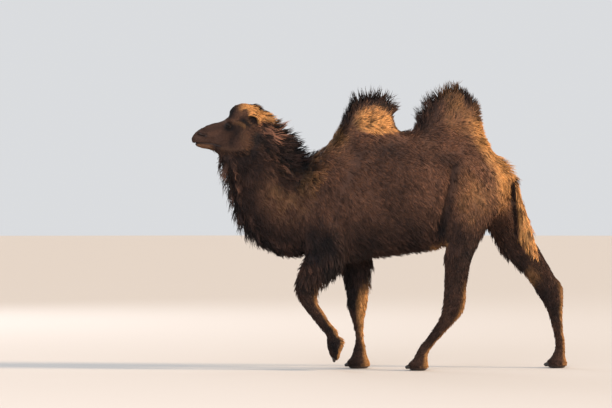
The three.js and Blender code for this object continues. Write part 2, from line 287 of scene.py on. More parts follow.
def refine(obj, wanted):
    # subdivides once the faces whose middle is wanted
    middles = rowsOf(obj.data.polygons, "center", 3)
    selectOnly(obj)
    bpy.ops.object.mode_set(mode="EDIT")
    bpy.ops.mesh.select_mode(type="FACE")
    bpy.ops.mesh.select_all(action="DESELECT")
    bpy.ops.object.mode_set(mode="OBJECT")
    obj.data.polygons.foreach_set("select", wanted(middles))
    bpy.ops.object.mode_set(mode="EDIT")
    bpy.ops.mesh.subdivide(number_cuts=1)
    bpy.ops.object.mode_set(mode="OBJECT")


skin = copiesJoined(flesh, "skin")
applyModifier(skin, "REMESH", {"mode": "VOXEL", "voxel_size": skinSizes["voxel"], "adaptivity": 0})
co = coordsOf(skin.data)
edges = edgesOf(skin.data)

# the body is evened out much more than the head, the legs and the tail
bodyShare = ramp(co[:, 2], 0.86, 1.02)
headShare = 1 - ramp(-co[:, 1], 0.86, 0.98) * ramp(co[:, 2], 1.5, 1.62)
tailShare = 1 - 0.8 * ramp(co[:, 1], 0.93, 1.0) * (1 - ramp(np.abs(co[:, 0]), 0.06, 0.09))
share = skinSizes["smoothLeast"] + skinSizes["smoothBody"] * bodyShare * headShare * tailShare
smooth = relax(co, edges, share, skinSizes["smoothRounds"])
lost = relax(co - smooth, edges, 0.6, skinSizes["keepRounds"])
co = smooth + lost     # the facets go, the size stays
setCoords(skin.data, co)


def headMask(co):
    return ramp(-co[:, 1], 0.86, 0.93) * ramp(co[:, 2] - 0.35 * (co[:, 1] + 0.95), 1.585, 1.625)


def faceMask(co):
    # the head down to the lower edge of the jaw, where the long hair of the throat starts
    return ramp(-co[:, 1], 0.86, 0.93) * ramp(co[:, 2] - 0.08 * (co[:, 1] + 1.25), 1.588, 1.616)


def coatDepth(co):
    y, z = co[:, 1], co[:, 2]
    zones = {
        "neckDepth": ramp(-y, 0.45, 0.65) * ramp(z, 0.8, 0.95),
        "napeDepth": near(co, napeLine, 0.12, 0.03),
        "throatDepth": near(co, throatLine, 0.13, 0.03),
        "pollDepth": 1 - ramp(np.hypot(y + 0.835, z - 1.895), 0.03, 0.09),
        "tailDepth": ramp(y, 0.96, 1.0) * (1 - ramp(np.abs(co[:, 0]), 0.05, 0.08)) * ramp(z, 0.8, 0.9),
        "legDepth": 1 - ramp(z, 0.74, 0.92),
        "footDepth": 1 - ramp(z, 0.1, 0.24),
        "headDepth": headMask(co),
    }
    depth = np.full(len(co), skinSizes["trunkDepth"])
    for name, mask in zones.items():
        depth += (skinSizes[name] - depth) * mask
    return depth


crestFrom = skinSizes["crestFrom"]
hump = ramp(co[:, 1], -0.42, -0.36) * ramp(co[:, 2], crestFrom, crestFrom + 0.02)
co[:, 2] -= hump * (1 - skinSizes["crestKeeps"]) * (co[:, 2] - crestFrom)
depth = coatDepth(co)
grounded = ramp(co[:, 2], 0.004, 0.03)
for step in range(skinSizes["shrinkSteps"]):
    setCoords(skin.data, co)
    move = normalsOf(skin.data) * (depth / skinSizes["shrinkSteps"])[:, None]
    move[:, 2] *= grounded
    co = relax(co - move, edges, 0.12, 1)
print("skin lies under the coat,", len(co), "points")

# the forms of the body that the coat follows: a line, its reach, how far it stands out
bodyForms = {
    "thighGroove": ([(0.52, 1.49), (0.495, 1.33), (0.466, 1.18), (0.43, 1.03)], 0.05, -0.026),
    "thighFront": ([(0.6, 1.45), (0.58, 1.2), (0.52, 1.0)], 0.1, 0.012),
    "hip": ([(0.62, 1.6), (0.7, 1.58)], 0.09, 0.012),
    "rumpBone": ([(0.93, 1.42), (0.98, 1.33)], 0.07, 0.01),
    "shoulderBlade": ([(-0.28, 1.76), (-0.45, 1.5), (-0.58, 1.24)], 0.085, 0.016),
    "behindShoulder": ([(-0.2, 1.55), (-0.33, 1.3), (-0.36, 1.12)], 0.09, -0.01),
    "beforeShoulder": ([(-0.52, 1.62), (-0.66, 1.38), (-0.72, 1.15)], 0.075, -0.016),
    "elbow": ([(-0.36, 1.02), (-0.3, 0.92)], 0.08, 0.012),
    "flankHollow": ([(0.38, 1.52), (0.36, 1.3)], 0.1, -0.01),
    "tailEdge": ([(0.962, 1.42), (0.985, 1.22), (1.003, 1.0)], 0.03, -0.022),
    "underJaw": (
        [(-1.24, 1.585), (-1.1, 1.575), (-0.985, 1.58), (-0.925, 1.66), (-0.915, 1.75)], 0.045, -0.02),
}
hock = {"line": [(1.1, 0.9), (1.2, 0.78), (1.27, 0.7)], "reach": 0.11, "core": 0.02, "hollow": 0.026}
setCoords(skin.data, co)
normals = normalsOf(skin.data)
sideways = ramp(np.abs(normals[:, 0]), 0.15, 0.55)
for line, reach, amount in bodyForms.values():
    co = co + normals * (near(co, line, reach, 0) * sideways * amount)[:, None]
hockHollow = near(co, hock["line"], hock["reach"], hock["core"]) * (co[:, 0] < 0)
co[:, 1] -= hock["hollow"] * hockHollow * ramp(normals[:, 1], 0.1, 0.7)
co = relax(co, edges, 0.3, 2)
setCoords(skin.data, co)
refine(skin, lambda m: (m[:, 2] < 0.3) | ((m[:, 1] < -0.86) & (m[:, 2] > 1.56)))
refine(skin, lambda m: (m[:, 2] < 0.07) | ((m[:, 1] < -0.95) & (m[:, 2] > 1.6)))
co = coordsOf(skin.data)
refined = (co[:, 2] < 0.32) | ((co[:, 1] < -0.86) & (co[:, 2] > 1.56))
co = relax(co, edgesOf(skin.data), 0.45 * refined, 3)
setCoords(skin.data, co)

# two toes on each foot, with a cleft between them that starts at the nails
toeSizes = {
    "cleft": 0.016,
    "cleftHalf": 0.016,
    "cleftReach": 0.105,
    "swelling": 0.012,
    "behindNail": [0, 0.022, 0.012],
    "radii": (0.04, 0.055, 0.042),
}
normals = normalsOf(skin.data)
for foot in ("front_left", "front_right", "rear_left", "rear_right"):
    toes = [nailAt[f"nail_{foot}_left"], nailAt[f"nail_{foot}_right"]]
    between = (toes[0] + toes[1]) / 2
    offMiddle = np.abs(co[:, 0] - between[0])
    away = np.linalg.norm(co[:, 1:] - between[1:], axis=1)
    cleft = 1 - ramp(offMiddle, 0.002, toeSizes["cleftHalf"])
    cleft *= 1 - ramp(away, 0.05, toeSizes["cleftReach"])
    co = co - normals * (toeSizes["cleft"] * (cleft * (offMiddle < 0.05)))[:, None]
    for toe in toes:
        swollen = inside(co, toe + toeSizes["behindNail"], toeSizes["radii"])
        co = co + normals * (toeSizes["swelling"] * swollen)[:, None]
co[:, 2] = co[:, 2].clip(skinSizes["lowest"])
setCoords(skin.data, co)

eyeAt = np.array([0.088, -1.1288, 1.795])


def folded(co):
    # both halves of the head laid on its left one
    return np.column_stack([np.abs(co[:, 0]), co[:, 1], co[:, 2]])


def byMuzzleOrEye(middles):
    byEye = np.linalg.norm(folded(middles) - eyeAt, axis=1) < 0.045
    return (middles[:, 2] > 1.55) & ((middles[:, 1] < -1.29) | byEye)


refine(skin, byMuzzleOrEye)
print("skin refined,", len(skin.data.vertices), "points")

# the head is sculpted in blobs (middle, radii, how far out) and creases (line, reach, how far out)
headBlobs = {
    "socket": ((0.098, -1.131, 1.797), (0.05, 0.05, 0.036), -0.008),
    "brow": ((0.085, -1.12, 1.836), (0.05, 0.06, 0.022), 0.01),
    "foreheadStep": ((0.0, -1.125, 1.87), (0.07, 0.035, 0.035), -0.006),
    "noseBridge": ((0.0, -1.27, 1.815), (0.06, 0.11, 0.035), 0.007),
    "domeFront": ((0.0, -1.12, 1.92), (0.07, 0.05, 0.06), 0.006),
    "temple": ((0.1, -1.035, 1.85), (0.06, 0.05, 0.03), -0.008),
    "cheekHollow": ((0.1, -1.075, 1.715), (0.06, 0.05, 0.065), -0.01),
    "cheek": ((0.1, -1.0, 1.69), (0.06, 0.058, 0.09), 0.01),
    "muzzleHollow": ((0.07, -1.215, 1.735), (0.05, 0.06, 0.035), -0.007),
    "noseSide": ((0.045, -1.315, 1.765), (0.03, 0.045, 0.022), 0.007),
    "upperLip": ((0.045, -1.335, 1.692), (0.05, 0.065, 0.027), 0.011),
    "lipTip": ((0.025, -1.37, 1.69), (0.04, 0.04, 0.026), 0.006),
    "lowerLip": ((0.03, -1.33, 1.652), (0.05, 0.045, 0.018), 0.005),
    "behindChin": ((0.04, -1.255, 1.625), (0.06, 0.035, 0.025), -0.006),
}
headCreases = {
    "cheekbone": ([(-1.085, 1.822), (-1.05, 1.818), (-1.015, 1.795)], 0.016, 0.007),
    "nostril": ([(-1.345, 1.74), (-1.322, 1.729), (-1.296, 1.724)], 0.0065, -0.014),
    "nostrilRim": ([(-1.345, 1.756), (-1.315, 1.744), (-1.285, 1.737)], 0.01, 0.005),
    "nostrilFloor": ([(-1.35, 1.722), (-1.32, 1.714), (-1.29, 1.71)], 0.01, 0.004),
    "lipFold": ([(-1.3, 1.705), (-1.262, 1.7), (-1.225, 1.69)], 0.012, -0.004),
    "mouth": ([(-1.39, 1.668), (-1.33, 1.672), (-1.262, 1.668), (-1.19, 1.65)], 0.0075, -0.009),
    "mouthOver": ([(-1.39, 1.682), (-1.33, 1.685), (-1.262, 1.682)], 0.011, 0.004),
    "underEye": ([(-1.17, 1.772), (-1.13, 1.762), (-1.09, 1.77)], 0.007, -0.0035),
    "tearLine": ([(-1.16, 1.785), (-1.195, 1.765), (-1.215, 1.745)], 0.009, -0.003),
    "jaw": ([(-1.17, 1.625), (-1.08, 1.615), (-0.99, 1.62)], 0.022, 0.006),
}
muzzle = {
    "lipSplit": 0.012,     # depth of the upper lip's cleft
    "narrow": 0.2,         # shares of the width lost ahead of the cheeks, at the waist and at the bridge
    "waist": 0.17,
    "bridge": 0.2,
    "waistAt": -1.195,
    "waistLong": 0.038,
    "forward": 0.02,       # gives the length back that the smoothing took
}
co = coordsOf(skin.data)
normals = normalsOf(skin.data)
onHead = ramp(-co[:, 1], 0.88, 0.94) * (co[:, 2] > 1.56)
for centre, radii, amount in headBlobs.values():
    co = co + normals * (inside(folded(co), centre, radii) * amount * onHead)[:, None]
for name, (line, reach, amount) in headCreases.items():
    facing = 1.0 if name.startswith("mouth") else ramp(np.abs(normals[:, 0]), 0.25, 0.6)
    co = co + normals * (near(co, line, reach, 0) * facing * amount * onHead)[:, None]
split = (1 - ramp(np.abs(co[:, 0]), 0.0, 0.009)) * ramp(-co[:, 1], 1.34, 1.365)
split *= ramp(co[:, 2], 1.668, 1.674) * (1 - ramp(co[:, 2], 1.722, 1.745))
co = co - normals * (split * muzzle["lipSplit"])[:, None]

eye = {
    "radius": 0.021,
    "lid": 0.0035,
    "halfLength": 0.019,
    "upper": 0.0088,
    "lower": 0.0078,
    "slant": 0.14,
    "skirt": 0.042,        # how far the lids' rounding reaches
    "forward": 0.2,        # how far the eye looks ahead of straight sideways
    "fold": 0.0022,        # the raised rim of the lids and the crease outside it, each at its distance
    "foldAt": 0.0065,
    "crease": 0.0025,
    "creaseAt": 0.0115,
    "creaseHalf": 0.004,
    "opened": 0.01,        # how far the skin sinks behind the ball between the lids
    "cornea": 0.0012,
}
outward = unitRows(np.array([1, -eye["forward"], 0.05]))
eyeSide = unitRows(np.cross([0, 0, 1.0], outward))     # towards the tail, along the eye
eyeUp = np.cross(outward, eyeSide)


def eyeOpening(co):
    # places round the eye: out of the socket, from its middle, and how far inside the opening of the lids
    away = folded(co) - eyeAt
    front, alongEye, tilt = away @ outward, away @ eyeSide, away @ eyeUp
    slant = tilt + eye["slant"] * alongEye
    half = np.where(slant > 0, eye["upper"], eye["lower"])
    opening = half * np.clip(1 - (alongEye / eye["halfLength"]) ** 2, 0, None) - np.abs(slant)
    return front, np.hypot(alongEye, tilt), opening


front, across, opening = eyeOpening(co)
lidRadius = eye["radius"] + eye["lid"]
rounded = np.sqrt(np.clip(lidRadius ** 2 - across ** 2, 0, None))
lidFold = eye["fold"] * (1 - ramp(np.abs(opening + eye["foldAt"]), 0, eye["creaseHalf"]))
lidFold -= eye["crease"] * (1 - ramp(np.abs(opening + eye["creaseAt"]), 0, eye["creaseHalf"]))
wanted = rounded + lidFold - eye["opened"] * ramp(opening, -0.0006, 0.001)
skirt = 1 - ramp(across, 0.016, eye["skirt"])
isLid = (front > -0.03) * (across < eye["skirt"]) * (co[:, 2] > 1.5)
lifted = np.where(across < 0.02, wanted, np.maximum(front, front + (wanted - front) * skirt))
lifted = front + (lifted - front) * (1 - ramp(across, 0.85 * eye["skirt"], eye["skirt"]))
step = outward * ((lifted - front) * isLid)[:, None]
step[:, 0] *= np.sign(co[:, 0])
co = co + step

# the muzzle narrows ahead of the cheeks
high = co[:, 2] > 1.5
ahead = -co[:, 1]
co[:, 0] *= 1 - muzzle["narrow"] * ramp(ahead, 1.12, 1.24) * (1 - 0.55 * ramp(ahead, 1.29, 1.36)) * high
waist = np.exp(-((co[:, 1] - muzzle["waistAt"]) / muzzle["waistLong"]) ** 2)
co[:, 0] *= 1 - muzzle["waist"] * waist * ramp(co[:, 2], 1.66, 1.72) * high
overBridge = ramp(co[:, 2] + 0.25 * (co[:, 1] + 1.3), 1.7, 1.77)
co[:, 0] *= 1 - muzzle["bridge"] * ramp(ahead, 1.14, 1.24) * overBridge * high
co[:, 1] -= muzzle["forward"] * ramp(ahead, 1.22, 1.37) * high
setCoords(skin.data, co)
print("head sculpted")

# each ear is a cupped leaf that grows out of the head, with its hollow turned out and forwards
ear = {
    "root": (0.09, -0.91, 1.808),
    "tipwards": (0.24, -0.68, 0.69),
    "hollow": (0.75, -0.6, 0.0),
    "halfLength": 0.056,
    "halfWidth": 0.034,
    "back": 0.024,
    "cup": 0.018,
    "tipCurl": 0.014,
    # the hollow is darkened with painted shade
    "inner": (0.026, 0.046),     # half width and half length of the dark hollow
}
lengthwise = unitRows(np.array(ear["tipwards"]))
openwards = unitRows(np.array(ear["hollow"]) - np.dot(ear["hollow"], lengthwise) * lengthwise)
earFrame = np.array([np.cross(lengthwise, openwards), openwards, lengthwise])
earMiddle = np.array(ear["root"]) + lengthwise * ear["halfLength"] * 0.8


def earLocal(co):
    # across, into the hollow and lengthwise, each in metres from the ear's middle
    return (folded(co) - earMiddle) @ earFrame.T


def earInner(local):
    # 0 in the middle of the hollow, 1 at its rim
    return np.hypot(local[:, 0] / ear["inner"][0], local[:, 2] / ear["inner"][1])


def inFixedOrder(obj):
    # a boolean leaves the faces in no fixed order: sorted, they give the same coat in every run
    faces = []
    for polygon in obj.data.polygons:
        corners = list(polygon.vertices)
        lowest = corners.index(min(corners))
        faces.append(tuple(corners[lowest:] + corners[:lowest]))
    unsorted = obj.data
    obj.data = bpy.data.meshes.new(obj.name)
    obj.data.from_pydata(coordsOf(unsorted).tolist(), [], sorted(faces))
    bpy.data.meshes.remove(unsorted)


for side in (1, -1):
    bpy.ops.mesh.primitive_uv_sphere_add(segments=36, ring_count=24, radius=1)
    leaf = bpy.context.object
    leaf.name = "earLeaf"
    unit = coordsOf(leaf.data)
    pointed = 1 - 0.28 * ramp(unit[:, 2], 0.1, 1.0) - 0.25 * ramp(-unit[:, 2], 0.3, 1.0)
    front = np.clip(unit[:, 1], 0, 1)
    rear = np.clip(unit[:, 1], -1, 0)
    into = -ear["cup"] * front ** 0.7 * ramp(unit[:, 2], -1.0, -0.1)
    into += 0.25 * ear["back"] * front * ramp(-unit[:, 2], 0.3, 0.9)
    into += ear["back"] * rear + ear["tipCurl"] * unit[:, 2] ** 2 * (unit[:, 2] > 0)
    leafCo = np.column_stack([unit[:, 0] * ear["halfWidth"] * pointed, into, unit[:, 2] * ear["halfLength"]])
    shaped = earMiddle + leafCo @ earFrame
    shaped[:, 0] *= side
    setCoords(leaf.data, shaped)
    if side < 0:
        leaf.data.flip_normals()
    applyModifier(skin, "BOOLEAN", {"operation": "UNION", "solver": "MANIFOLD", "object": leaf})
    bpy.data.objects.remove(leaf)
    inFixedOrder(skin)
co = coordsOf(skin.data)
local = earLocal(co)
atRoot = 1 - ramp(np.abs(local[:, 2] + 0.045), 0.006, 0.02)
atRoot = atRoot * (np.linalg.norm(local[:, :2], axis=1) < 0.06)
co = relax(co, edgesOf(skin.data), 0.4 * atRoot, 4)
setCoords(skin.data, co)
print("ears grown,", len(skin.data.vertices), "points")

editAll(skin, bpy.ops.uv.smart_project, angle_limit=math.radians(66), island_margin=0.002)
skin.data.uv_layers[0].name = "OFBake"
print("skin unwrapped")


def drift(co, size, seed):
    # slow waves through space, about -1 to 1, that come round every few sizes
    waves = np.random.default_rng(seed)
    total = np.zeros(len(co))
    for _ in range(7):
        way = waves.normal(size=3)
        way *= 2 * math.pi / size * waves.uniform(0.5, 1.3) / np.linalg.norm(way)
        total += np.sin(co @ way + waves.uniform(0, 6.28))
    return total / 2.6


# the markings in the side view, with some painted light and shade among them: how strong, the middle and
# radii of a blob or a line and its reach
bodyDark = {
    "before the thigh": (-0.15, (0.39, 1.36), (0.16, 0.24)),
    "under the rear hump": (0.3, (0.33, 1.8), (0.18, 0.24)),
    "behind the shoulder": (0.42, (-0.38, 1.36), (0.24, 0.34)),
    "thigh": (-0.58, (0.68, 1.27), (0.2, 0.36)),
    "back": (0.35, (0.05, 1.62), (0.34, 0.1)),
    "chest": (0.16, (-0.5, 0.92), (0.36, 0.26)),
    # painted shade in the groove at the front of the thigh
    "thigh groove": (0.45, bodyForms["thighGroove"][0], 0.055),
    "loin": (0.3, [(0.28, 1.56), (0.5, 1.55)], 0.09),
    "ribs": (0.25, [(0.02, 1.45), (0.1, 1.25)], 0.14),
}
faceDark = {
    "cheek": (-0.18, (-1.02, 1.7), (0.07, 0.12)),
    "side of the muzzle": (-0.12, (-1.22, 1.72), (0.1, 0.06)),
    # painted shade in the hollow behind the eye and in the cheek hollow
    "behind the eye": (0.43, (-1.068, 1.75), (0.062, 0.085)),
    "cheek hollow": (0.35, (-1.115, 1.68), (0.035, 0.07)),
    "forehead": (0.28, (-1.105, 1.9), (0.06, 0.1)),
    "jowl": (0.62, (-0.925, 1.7), (0.08, 0.12)),
    "temple": (0.85, (-0.992, 1.828), (0.088, 0.064)),
    "corner of the jaw": (-0.25, (-1.03, 1.66), (0.07, 0.06)),
    "beside the nose": (-0.22, [(-1.27, 1.735), (-1.2, 1.757)], 0.03),
    "front of the dome": (0.25, [(-1.1, 1.95), (-1.13, 1.88), (-1.17, 1.855)], 0.035),
    "nose tip": (-0.26, (-1.335, 1.715), (0.075, 0.065)),
    # painted highlight along the top of the nose bridge
    "nose bridge": (-0.16, [(-1.31, 1.8), (-1.16, 1.84)], 0.04),
    "lower lip": (-0.3, [(-1.35, 1.655), (-1.26, 1.655)], 0.03),
    # painted shade in the hollow behind the chin, in the nostril and along the mouth
    "chin": (0.35, (-1.225, 1.635), (0.035, 0.035)),
    "nostril": (0.34, headCreases["nostril"][0], 0.02),
    "mouth": (0.3, headCreases["mouth"][0], 0.014),
}
bodyTan = {
    "shoulder's front": (0.1, [(-0.3, 1.72), (-0.46, 1.52), (-0.56, 1.34)], 0.09),
    "side of the neck": (0.2, (-0.7, 1.3), (0.26, 0.24)),
    "rear hump's side": (0.16, [(0.52, 1.98), (0.54, 1.8)], 0.12),
    "thigh": (0.22, (0.68, 1.3), (0.2, 0.32)),
    "end of the flank": (0.45, [(0.36, 0.91), (0.45, 0.93)], 0.05),
    "hock": (0.22, (1.13, 0.7), (0.09, 0.12)),
    # partly painted sunlight on the rear hump's back slope
    "rear hump's slope": (0.14, [(0.66, 1.88), (0.68, 1.72)], 0.09),
}
faceTan = {
    "cheekbone": (0.1, headCreases["cheekbone"][0], 0.026),
    "cheek": (0.05, (-1.01, 1.7), (0.06, 0.12)),
    "jaw": (0.03, headCreases["jaw"][0], 0.035),
    "lower lip": (0.13, [(-1.345, 1.648), (-1.27, 1.642)], 0.028),
}
maneLine = [(-0.86, 1.78), (-0.72, 1.64), (-0.62, 1.52), (-0.66, 1.42)]
frontCrestFace = [(-0.34, 1.68), (-0.31, 1.76), (-0.27, 1.85), (-0.22, 1.93), (-0.15, 1.98)]
rumpLine = [(0.74, 1.84), (0.79, 1.68), (0.9, 1.54), (0.96, 1.44)]
pollFringe = [(-0.95, 1.955), (-0.87, 1.925), (-0.81, 1.87)]


def painted(co, marks):
    # the sum of a table of marks: a list is a line with its reach, a pair the middle of a blob
    total = np.zeros(len(co))
    for strength, place, size in marks.values():
        total += strength * (near if isinstance(place, list) else blob)(co, place, size)
    return total


def markingsAndPaintedLight(co, normals):
    # how dark and how tan the coat is, 0 to 1, with painted sunlight and painted shade among the markings,
    # the same for the skin and for the tufts on it
    x, y, z = np.abs(co[:, 0]), co[:, 1], co[:, 2]
    tailEdge = bodyForms["tailEdge"][0]
    uneven = 0.1 * drift(co, 0.35, 5) + 0.07 * drift(co, 0.12, 6)
    dark = 0.13 + 0.66 * (1 - ramp(z, 0.98, 1.26)) + 0.24 * ramp(z, 1.42, 1.58)
    dark = np.maximum(dark, 0.8 * ramp(-y, 0.42, 0.66) * ramp(z, 0.8, 0.95))         # neck
    dark -= 0.74 * blob(co, (-0.74, 1.3), (0.29, 0.31))                              # its paler side
    dark = np.maximum(dark, 1.02 * near(co, maneLine, 0.22))
    dark = np.maximum(dark, 0.92 * near(co, throatLine, 0.2))
    dark += painted(co, bodyDark)
    dark += (0.8 - 0.12 * ramp(-z, -0.55, -0.1) - dark) * (1 - ramp(z, 0.7, 0.9))     # legs
    dark += 0.16 * ramp(-y, 0.15, 0.3) * (1 - ramp(z, 0.6, 0.8))                     # forelegs
    # the tan patch of the front hump, under its dark crest: pale hair, with painted sunlight on the faces
    # turned towards the tail
    patch = 1.7 * blob(co, (-0.075, 1.83), (0.185, 0.13)) + 1.5 * blob(co, (-0.01, 1.79), (0.215, 0.1))
    patch = np.clip(patch, 0, 1) * ramp(z, 1.728, 1.77)
    overBack = ramp(normals[:, 1], 0.1, 0.5) * (1 - ramp(z, 1.83, 1.88))
    patch *= np.maximum(ramp(np.abs(normals[:, 0]), 0.35, 0.65), overBack)
    patch *= 1 - 0.35 * blob(co, (-0.145, 1.8), (0.11, 0.1)) - 0.3 * ramp(drift(co, 0.11, 9), 0.2, 1.0)
    dark += 0.55 * blob(co, (-0.055, 1.95), (0.3, 0.3)) * ramp(z, 1.74, 1.8) * (1 - patch)
    dark = np.maximum(dark, 1.05 * near(co, frontCrestFace, 0.085))
    dark += 0.5 * ramp(z, 1.84, 2.02) * ramp(y, 0.1, 0.3)                            # rear crest
    dark = np.maximum(dark, 0.85 * near(co, [(0.28, 1.8), (0.34, 1.92), (0.42, 1.99)], 0.1))
    # painted shade: a dark line in the groove between the tail and the buttock
    dark = np.maximum(dark, 0.9 * near(co, tailEdge, 0.034))
    head = faceMask(co)
    # painted shade in the socket round the eye
    roundEye = np.clip(1.8 * blob(co, (-1.128, 1.791), (0.062, 0.05)), 0, 1)
    dark += (0.52 + 0.48 * roundEye + painted(co, faceDark) - dark) * head
    tan = 0.86 * patch + painted(co, bodyTan) + painted(co, faceTan) * head
    # the rump and its back edge: pale hair, made paler still with painted sunlight
    tan += 0.85 * blob(co, (0.895, 1.38), (0.14, 0.28)) * ramp(y, 0.76, 0.9)         # rump
    tan += 0.8 * near(co, rumpLine, 0.14) * (1 - ramp(z, 1.79, 1.88))
    onTail = ramp(y, 0.975, 1.0) * (1 - ramp(x, 0.055, 0.075)) * ramp(z, 0.84, 0.88)
    # painted sunlight on the back of the tail
    tan += 0.95 * onTail * ramp(y - 0.988 - 0.1 * (1.36 - z), -0.018, 0.018)         # back of the tail
    # painted sunlight: the faces of the legs turned towards the tail are tan
    tan += 0.66 * ramp(normals[:, 1], 0.25, 0.85) * (1 - ramp(z, 0.54, 0.7))         # backs of the legs
    # painted sunlight down the side of the right foreleg
    tan += 0.78 * blob(co, (-0.135, 0.42), (0.062, 0.27)) * (co[:, 0] < 0)           # right foreleg
    fringe = near(co, pollFringe, 0.08) * (1 - ramp(x, 0.022, 0.045))
    # the poll: sunbleached hair, with painted sunlight on it
    poll = np.clip(2.4 * blob(co, (-0.9, 1.91), (0.2, 0.13)), 0, 1) * ramp(y, -1.08, -1.03)
    tan += 0.95 * poll * ramp(z + 0.4 * (y + 0.95), 1.845, 1.885) * (1 - fringe)
    dark = np.maximum(dark, 0.9 * fringe)
    local = earLocal(co)
    onEar = ramp(local[:, 2], -0.05, -0.03)
    onEar = onEar * (1 - ramp(np.linalg.norm(local[:, :2], axis=1), 0.04, 0.05))
    faced = normals[:, 0] * np.sign(co[:, 0]) * openwards[0] + normals[:, 1:] @ openwards[1:]
    inEar = onEar * ramp(faced, -0.1, 0.5) * (1 - ramp(earInner(local), 0.86, 1.0))
    # painted light on the ear: its back rim sunlit tan, its front edge and its hollow in painted shade
    frontEdge = ramp(-local[:, 0], -0.006, 0.016)
    tan += (0.85 - 0.75 * frontEdge - tan) * onEar
    dark += (0.25 + 0.45 * frontEdge - dark) * onEar
    dark = np.maximum(dark, 0.95 * inEar)
    # no tan in the painted shade of the ear's hollow and of the groove beside the tail
    tan *= (1 - inEar) * (1 - near(co, tailEdge, 0.03))
    dark *= 1 - 0.8 * np.clip(tan, 0, 1) * (1 - head)
    return np.clip(dark + uneven, 0, 1), np.clip(tan + 0.6 * uneven * (tan > 0.05), 0, 1)


def bareness(co):
    # 1 where there is bare leather: nose, lips, lid rims, soles
    high = co[:, 2] > 1.5
    front, across, opening = eyeOpening(co)
    noseTip = near(co, [(-1.42, 1.68), (-1.4, 1.735)], 0.035) * (1 - ramp(np.abs(co[:, 0]), 0.004, 0.014))
    return np.max([
        0.7 * noseTip * high,
        0.38 * blob(co, (-1.35, 1.715), (0.07, 0.06)) * high,
        near(co, headCreases["nostril"][0], 0.008),
        0.8 * near(co, headCreases["mouth"][0], 0.006),
        ramp(opening, -0.0035, -0.002) * (across < 0.024) * (front > 0),
        1 - ramp(co[:, 2], 0.012, 0.028),
    ], axis=0)


def addAttribute(mesh, name, values):
    mesh.attributes.new(name, "FLOAT", "POINT").data.foreach_set("value", values.astype(np.float32))


co = coordsOf(skin.data)
normals = normalsOf(skin.data)
dark, tan = markingsAndPaintedLight(co, normals)
addAttribute(skin.data, "dark", dark)
addAttribute(skin.data, "tan", tan)
addAttribute(skin.data, "bare", bareness(co))

# hair colours, and the bare leather under them
hairColours = {"brown": "#6b4b3b", "dark": "#1b1415", "tan": "#d49d60", "leather": "#372d2a"}


def hairColour(tree, lighten):
    # brown hair, darkened and turned tan by the markings and by painted shade and sunlight
    colour = linear(hairColours["brown"])
    for mark in ("dark", "tan"):
        amount = addNode(tree, "Attribute", output="Fac", attribute_name=mark)
        mixed = {0: amount, 6: colour, 7: linear(hairColours[mark])}
        colour = addNode(tree, "Mix", mixed, 2, data_type="RGBA")
    return addNode(tree, "HueSaturation", {"Color": colour, "Value": lighten})


# camel hide under short hair: matt, with fine streaks along the body and damp dark leather on nose and lips
hide, tree, shader = newMaterial("camel hide with short hair")
place = addNode(tree, "TexCoord", output="Object")
drawnOut = addNode(tree, "Mapping", {"Vector": place, "Scale": (1.0, 0.35, 0.6)})
streaks = addNode(tree, "TexNoise", {"Vector": drawnOut, "Scale": 420.0, "Detail": 3.0})
streakTone = addNode(tree, "MapRange", {
    "Value": streaks, "From Min": 0.3, "From Max": 0.7, "To Min": 0.62, "To Max": 1.15,
})
bare = addNode(tree, "Attribute", output="Fac", attribute_name="bare")
mixed = {0: bare, 6: hairColour(tree, streakTone), 7: linear(hairColours["leather"])}
setInputs(tree, shader, {
    "Base Color": addNode(tree, "Mix", mixed, 2, data_type="RGBA"),
    "Normal": addNode(tree, "Bump", {"Height": streaks, "Strength": 0.5, "Distance": 0.0015}),
    "Roughness": addNode(tree, "MapRange", {"Value": bare, "To Min": 0.82, "To Max": 0.48}),
    "Specular IOR Level": 0.3,
})
finishPiece(skin, hide, "coat", *flesh, "ear_left", "ear_right")

# camel eye, wet: a deep brown iris that looks almost black, a lying pupil and a sharp small highlight
ballLooks = {
    "pupil": "#050303",
    "pupilHalf": (0.0065, 0.0034),     # along and up
    "iris": ((0.0, "#2f1a0e"), (0.62, "#120a07"), (0.8, "#1e1511")),
    "irisReach": 0.02,
}
eyeball, tree, shader = newMaterial("wet camel eye")
ballMiddle = (eyeAt[0], -eyeAt[1] + eye["forward"] * eye["radius"], eyeAt[2])
place = addNode(tree, "TexCoord", output="Object")
mirrored = addNode(tree, "VectorMath", {0: place}, operation="ABSOLUTE")
centred = addNode(tree, "VectorMath", {0: mirrored, 1: ballMiddle}, operation="SUBTRACT")
flat = addNode(tree, "VectorMath", {0: centred, 1: (0, 1, 1)}, operation="MULTIPLY")
fromMiddle = addNode(tree, "VectorMath", {0: flat}, "Value", operation="LENGTH")
irisPlace = addNode(tree, "MapRange", {"Value": fromMiddle, "From Max": ballLooks["irisReach"]})
iris = addNode(tree, "ValToRGB", {"Fac": irisPlace})
irisStops = iris.node.color_ramp.elements
irisStops.new(1.0)
for stop, (position, colour) in zip(irisStops, ballLooks["iris"]):
    stop.position = position
    stop.color = linear(colour)
perHalf = (0, 1 / ballLooks["pupilHalf"][0], 1 / ballLooks["pupilHalf"][1])
lying = addNode(tree, "VectorMath", {0: centred, 1: perHalf}, operation="MULTIPLY")
toPupil = addNode(tree, "VectorMath", {0: lying}, "Value", operation="LENGTH")
pupil = addNode(tree, "MapRange", {"Value": toPupil, "From Min": 0.85, "From Max": 1.05})
mixed = {0: pupil, 6: linear(ballLooks["pupil"]), 7: iris}
setInputs(tree, shader, {
    "Base Color": addNode(tree, "Mix", mixed, 2, data_type="RGBA"),
    "Roughness": 0.09,
    "IOR": 1.36,
    "Specular IOR Level": 0.35,
})
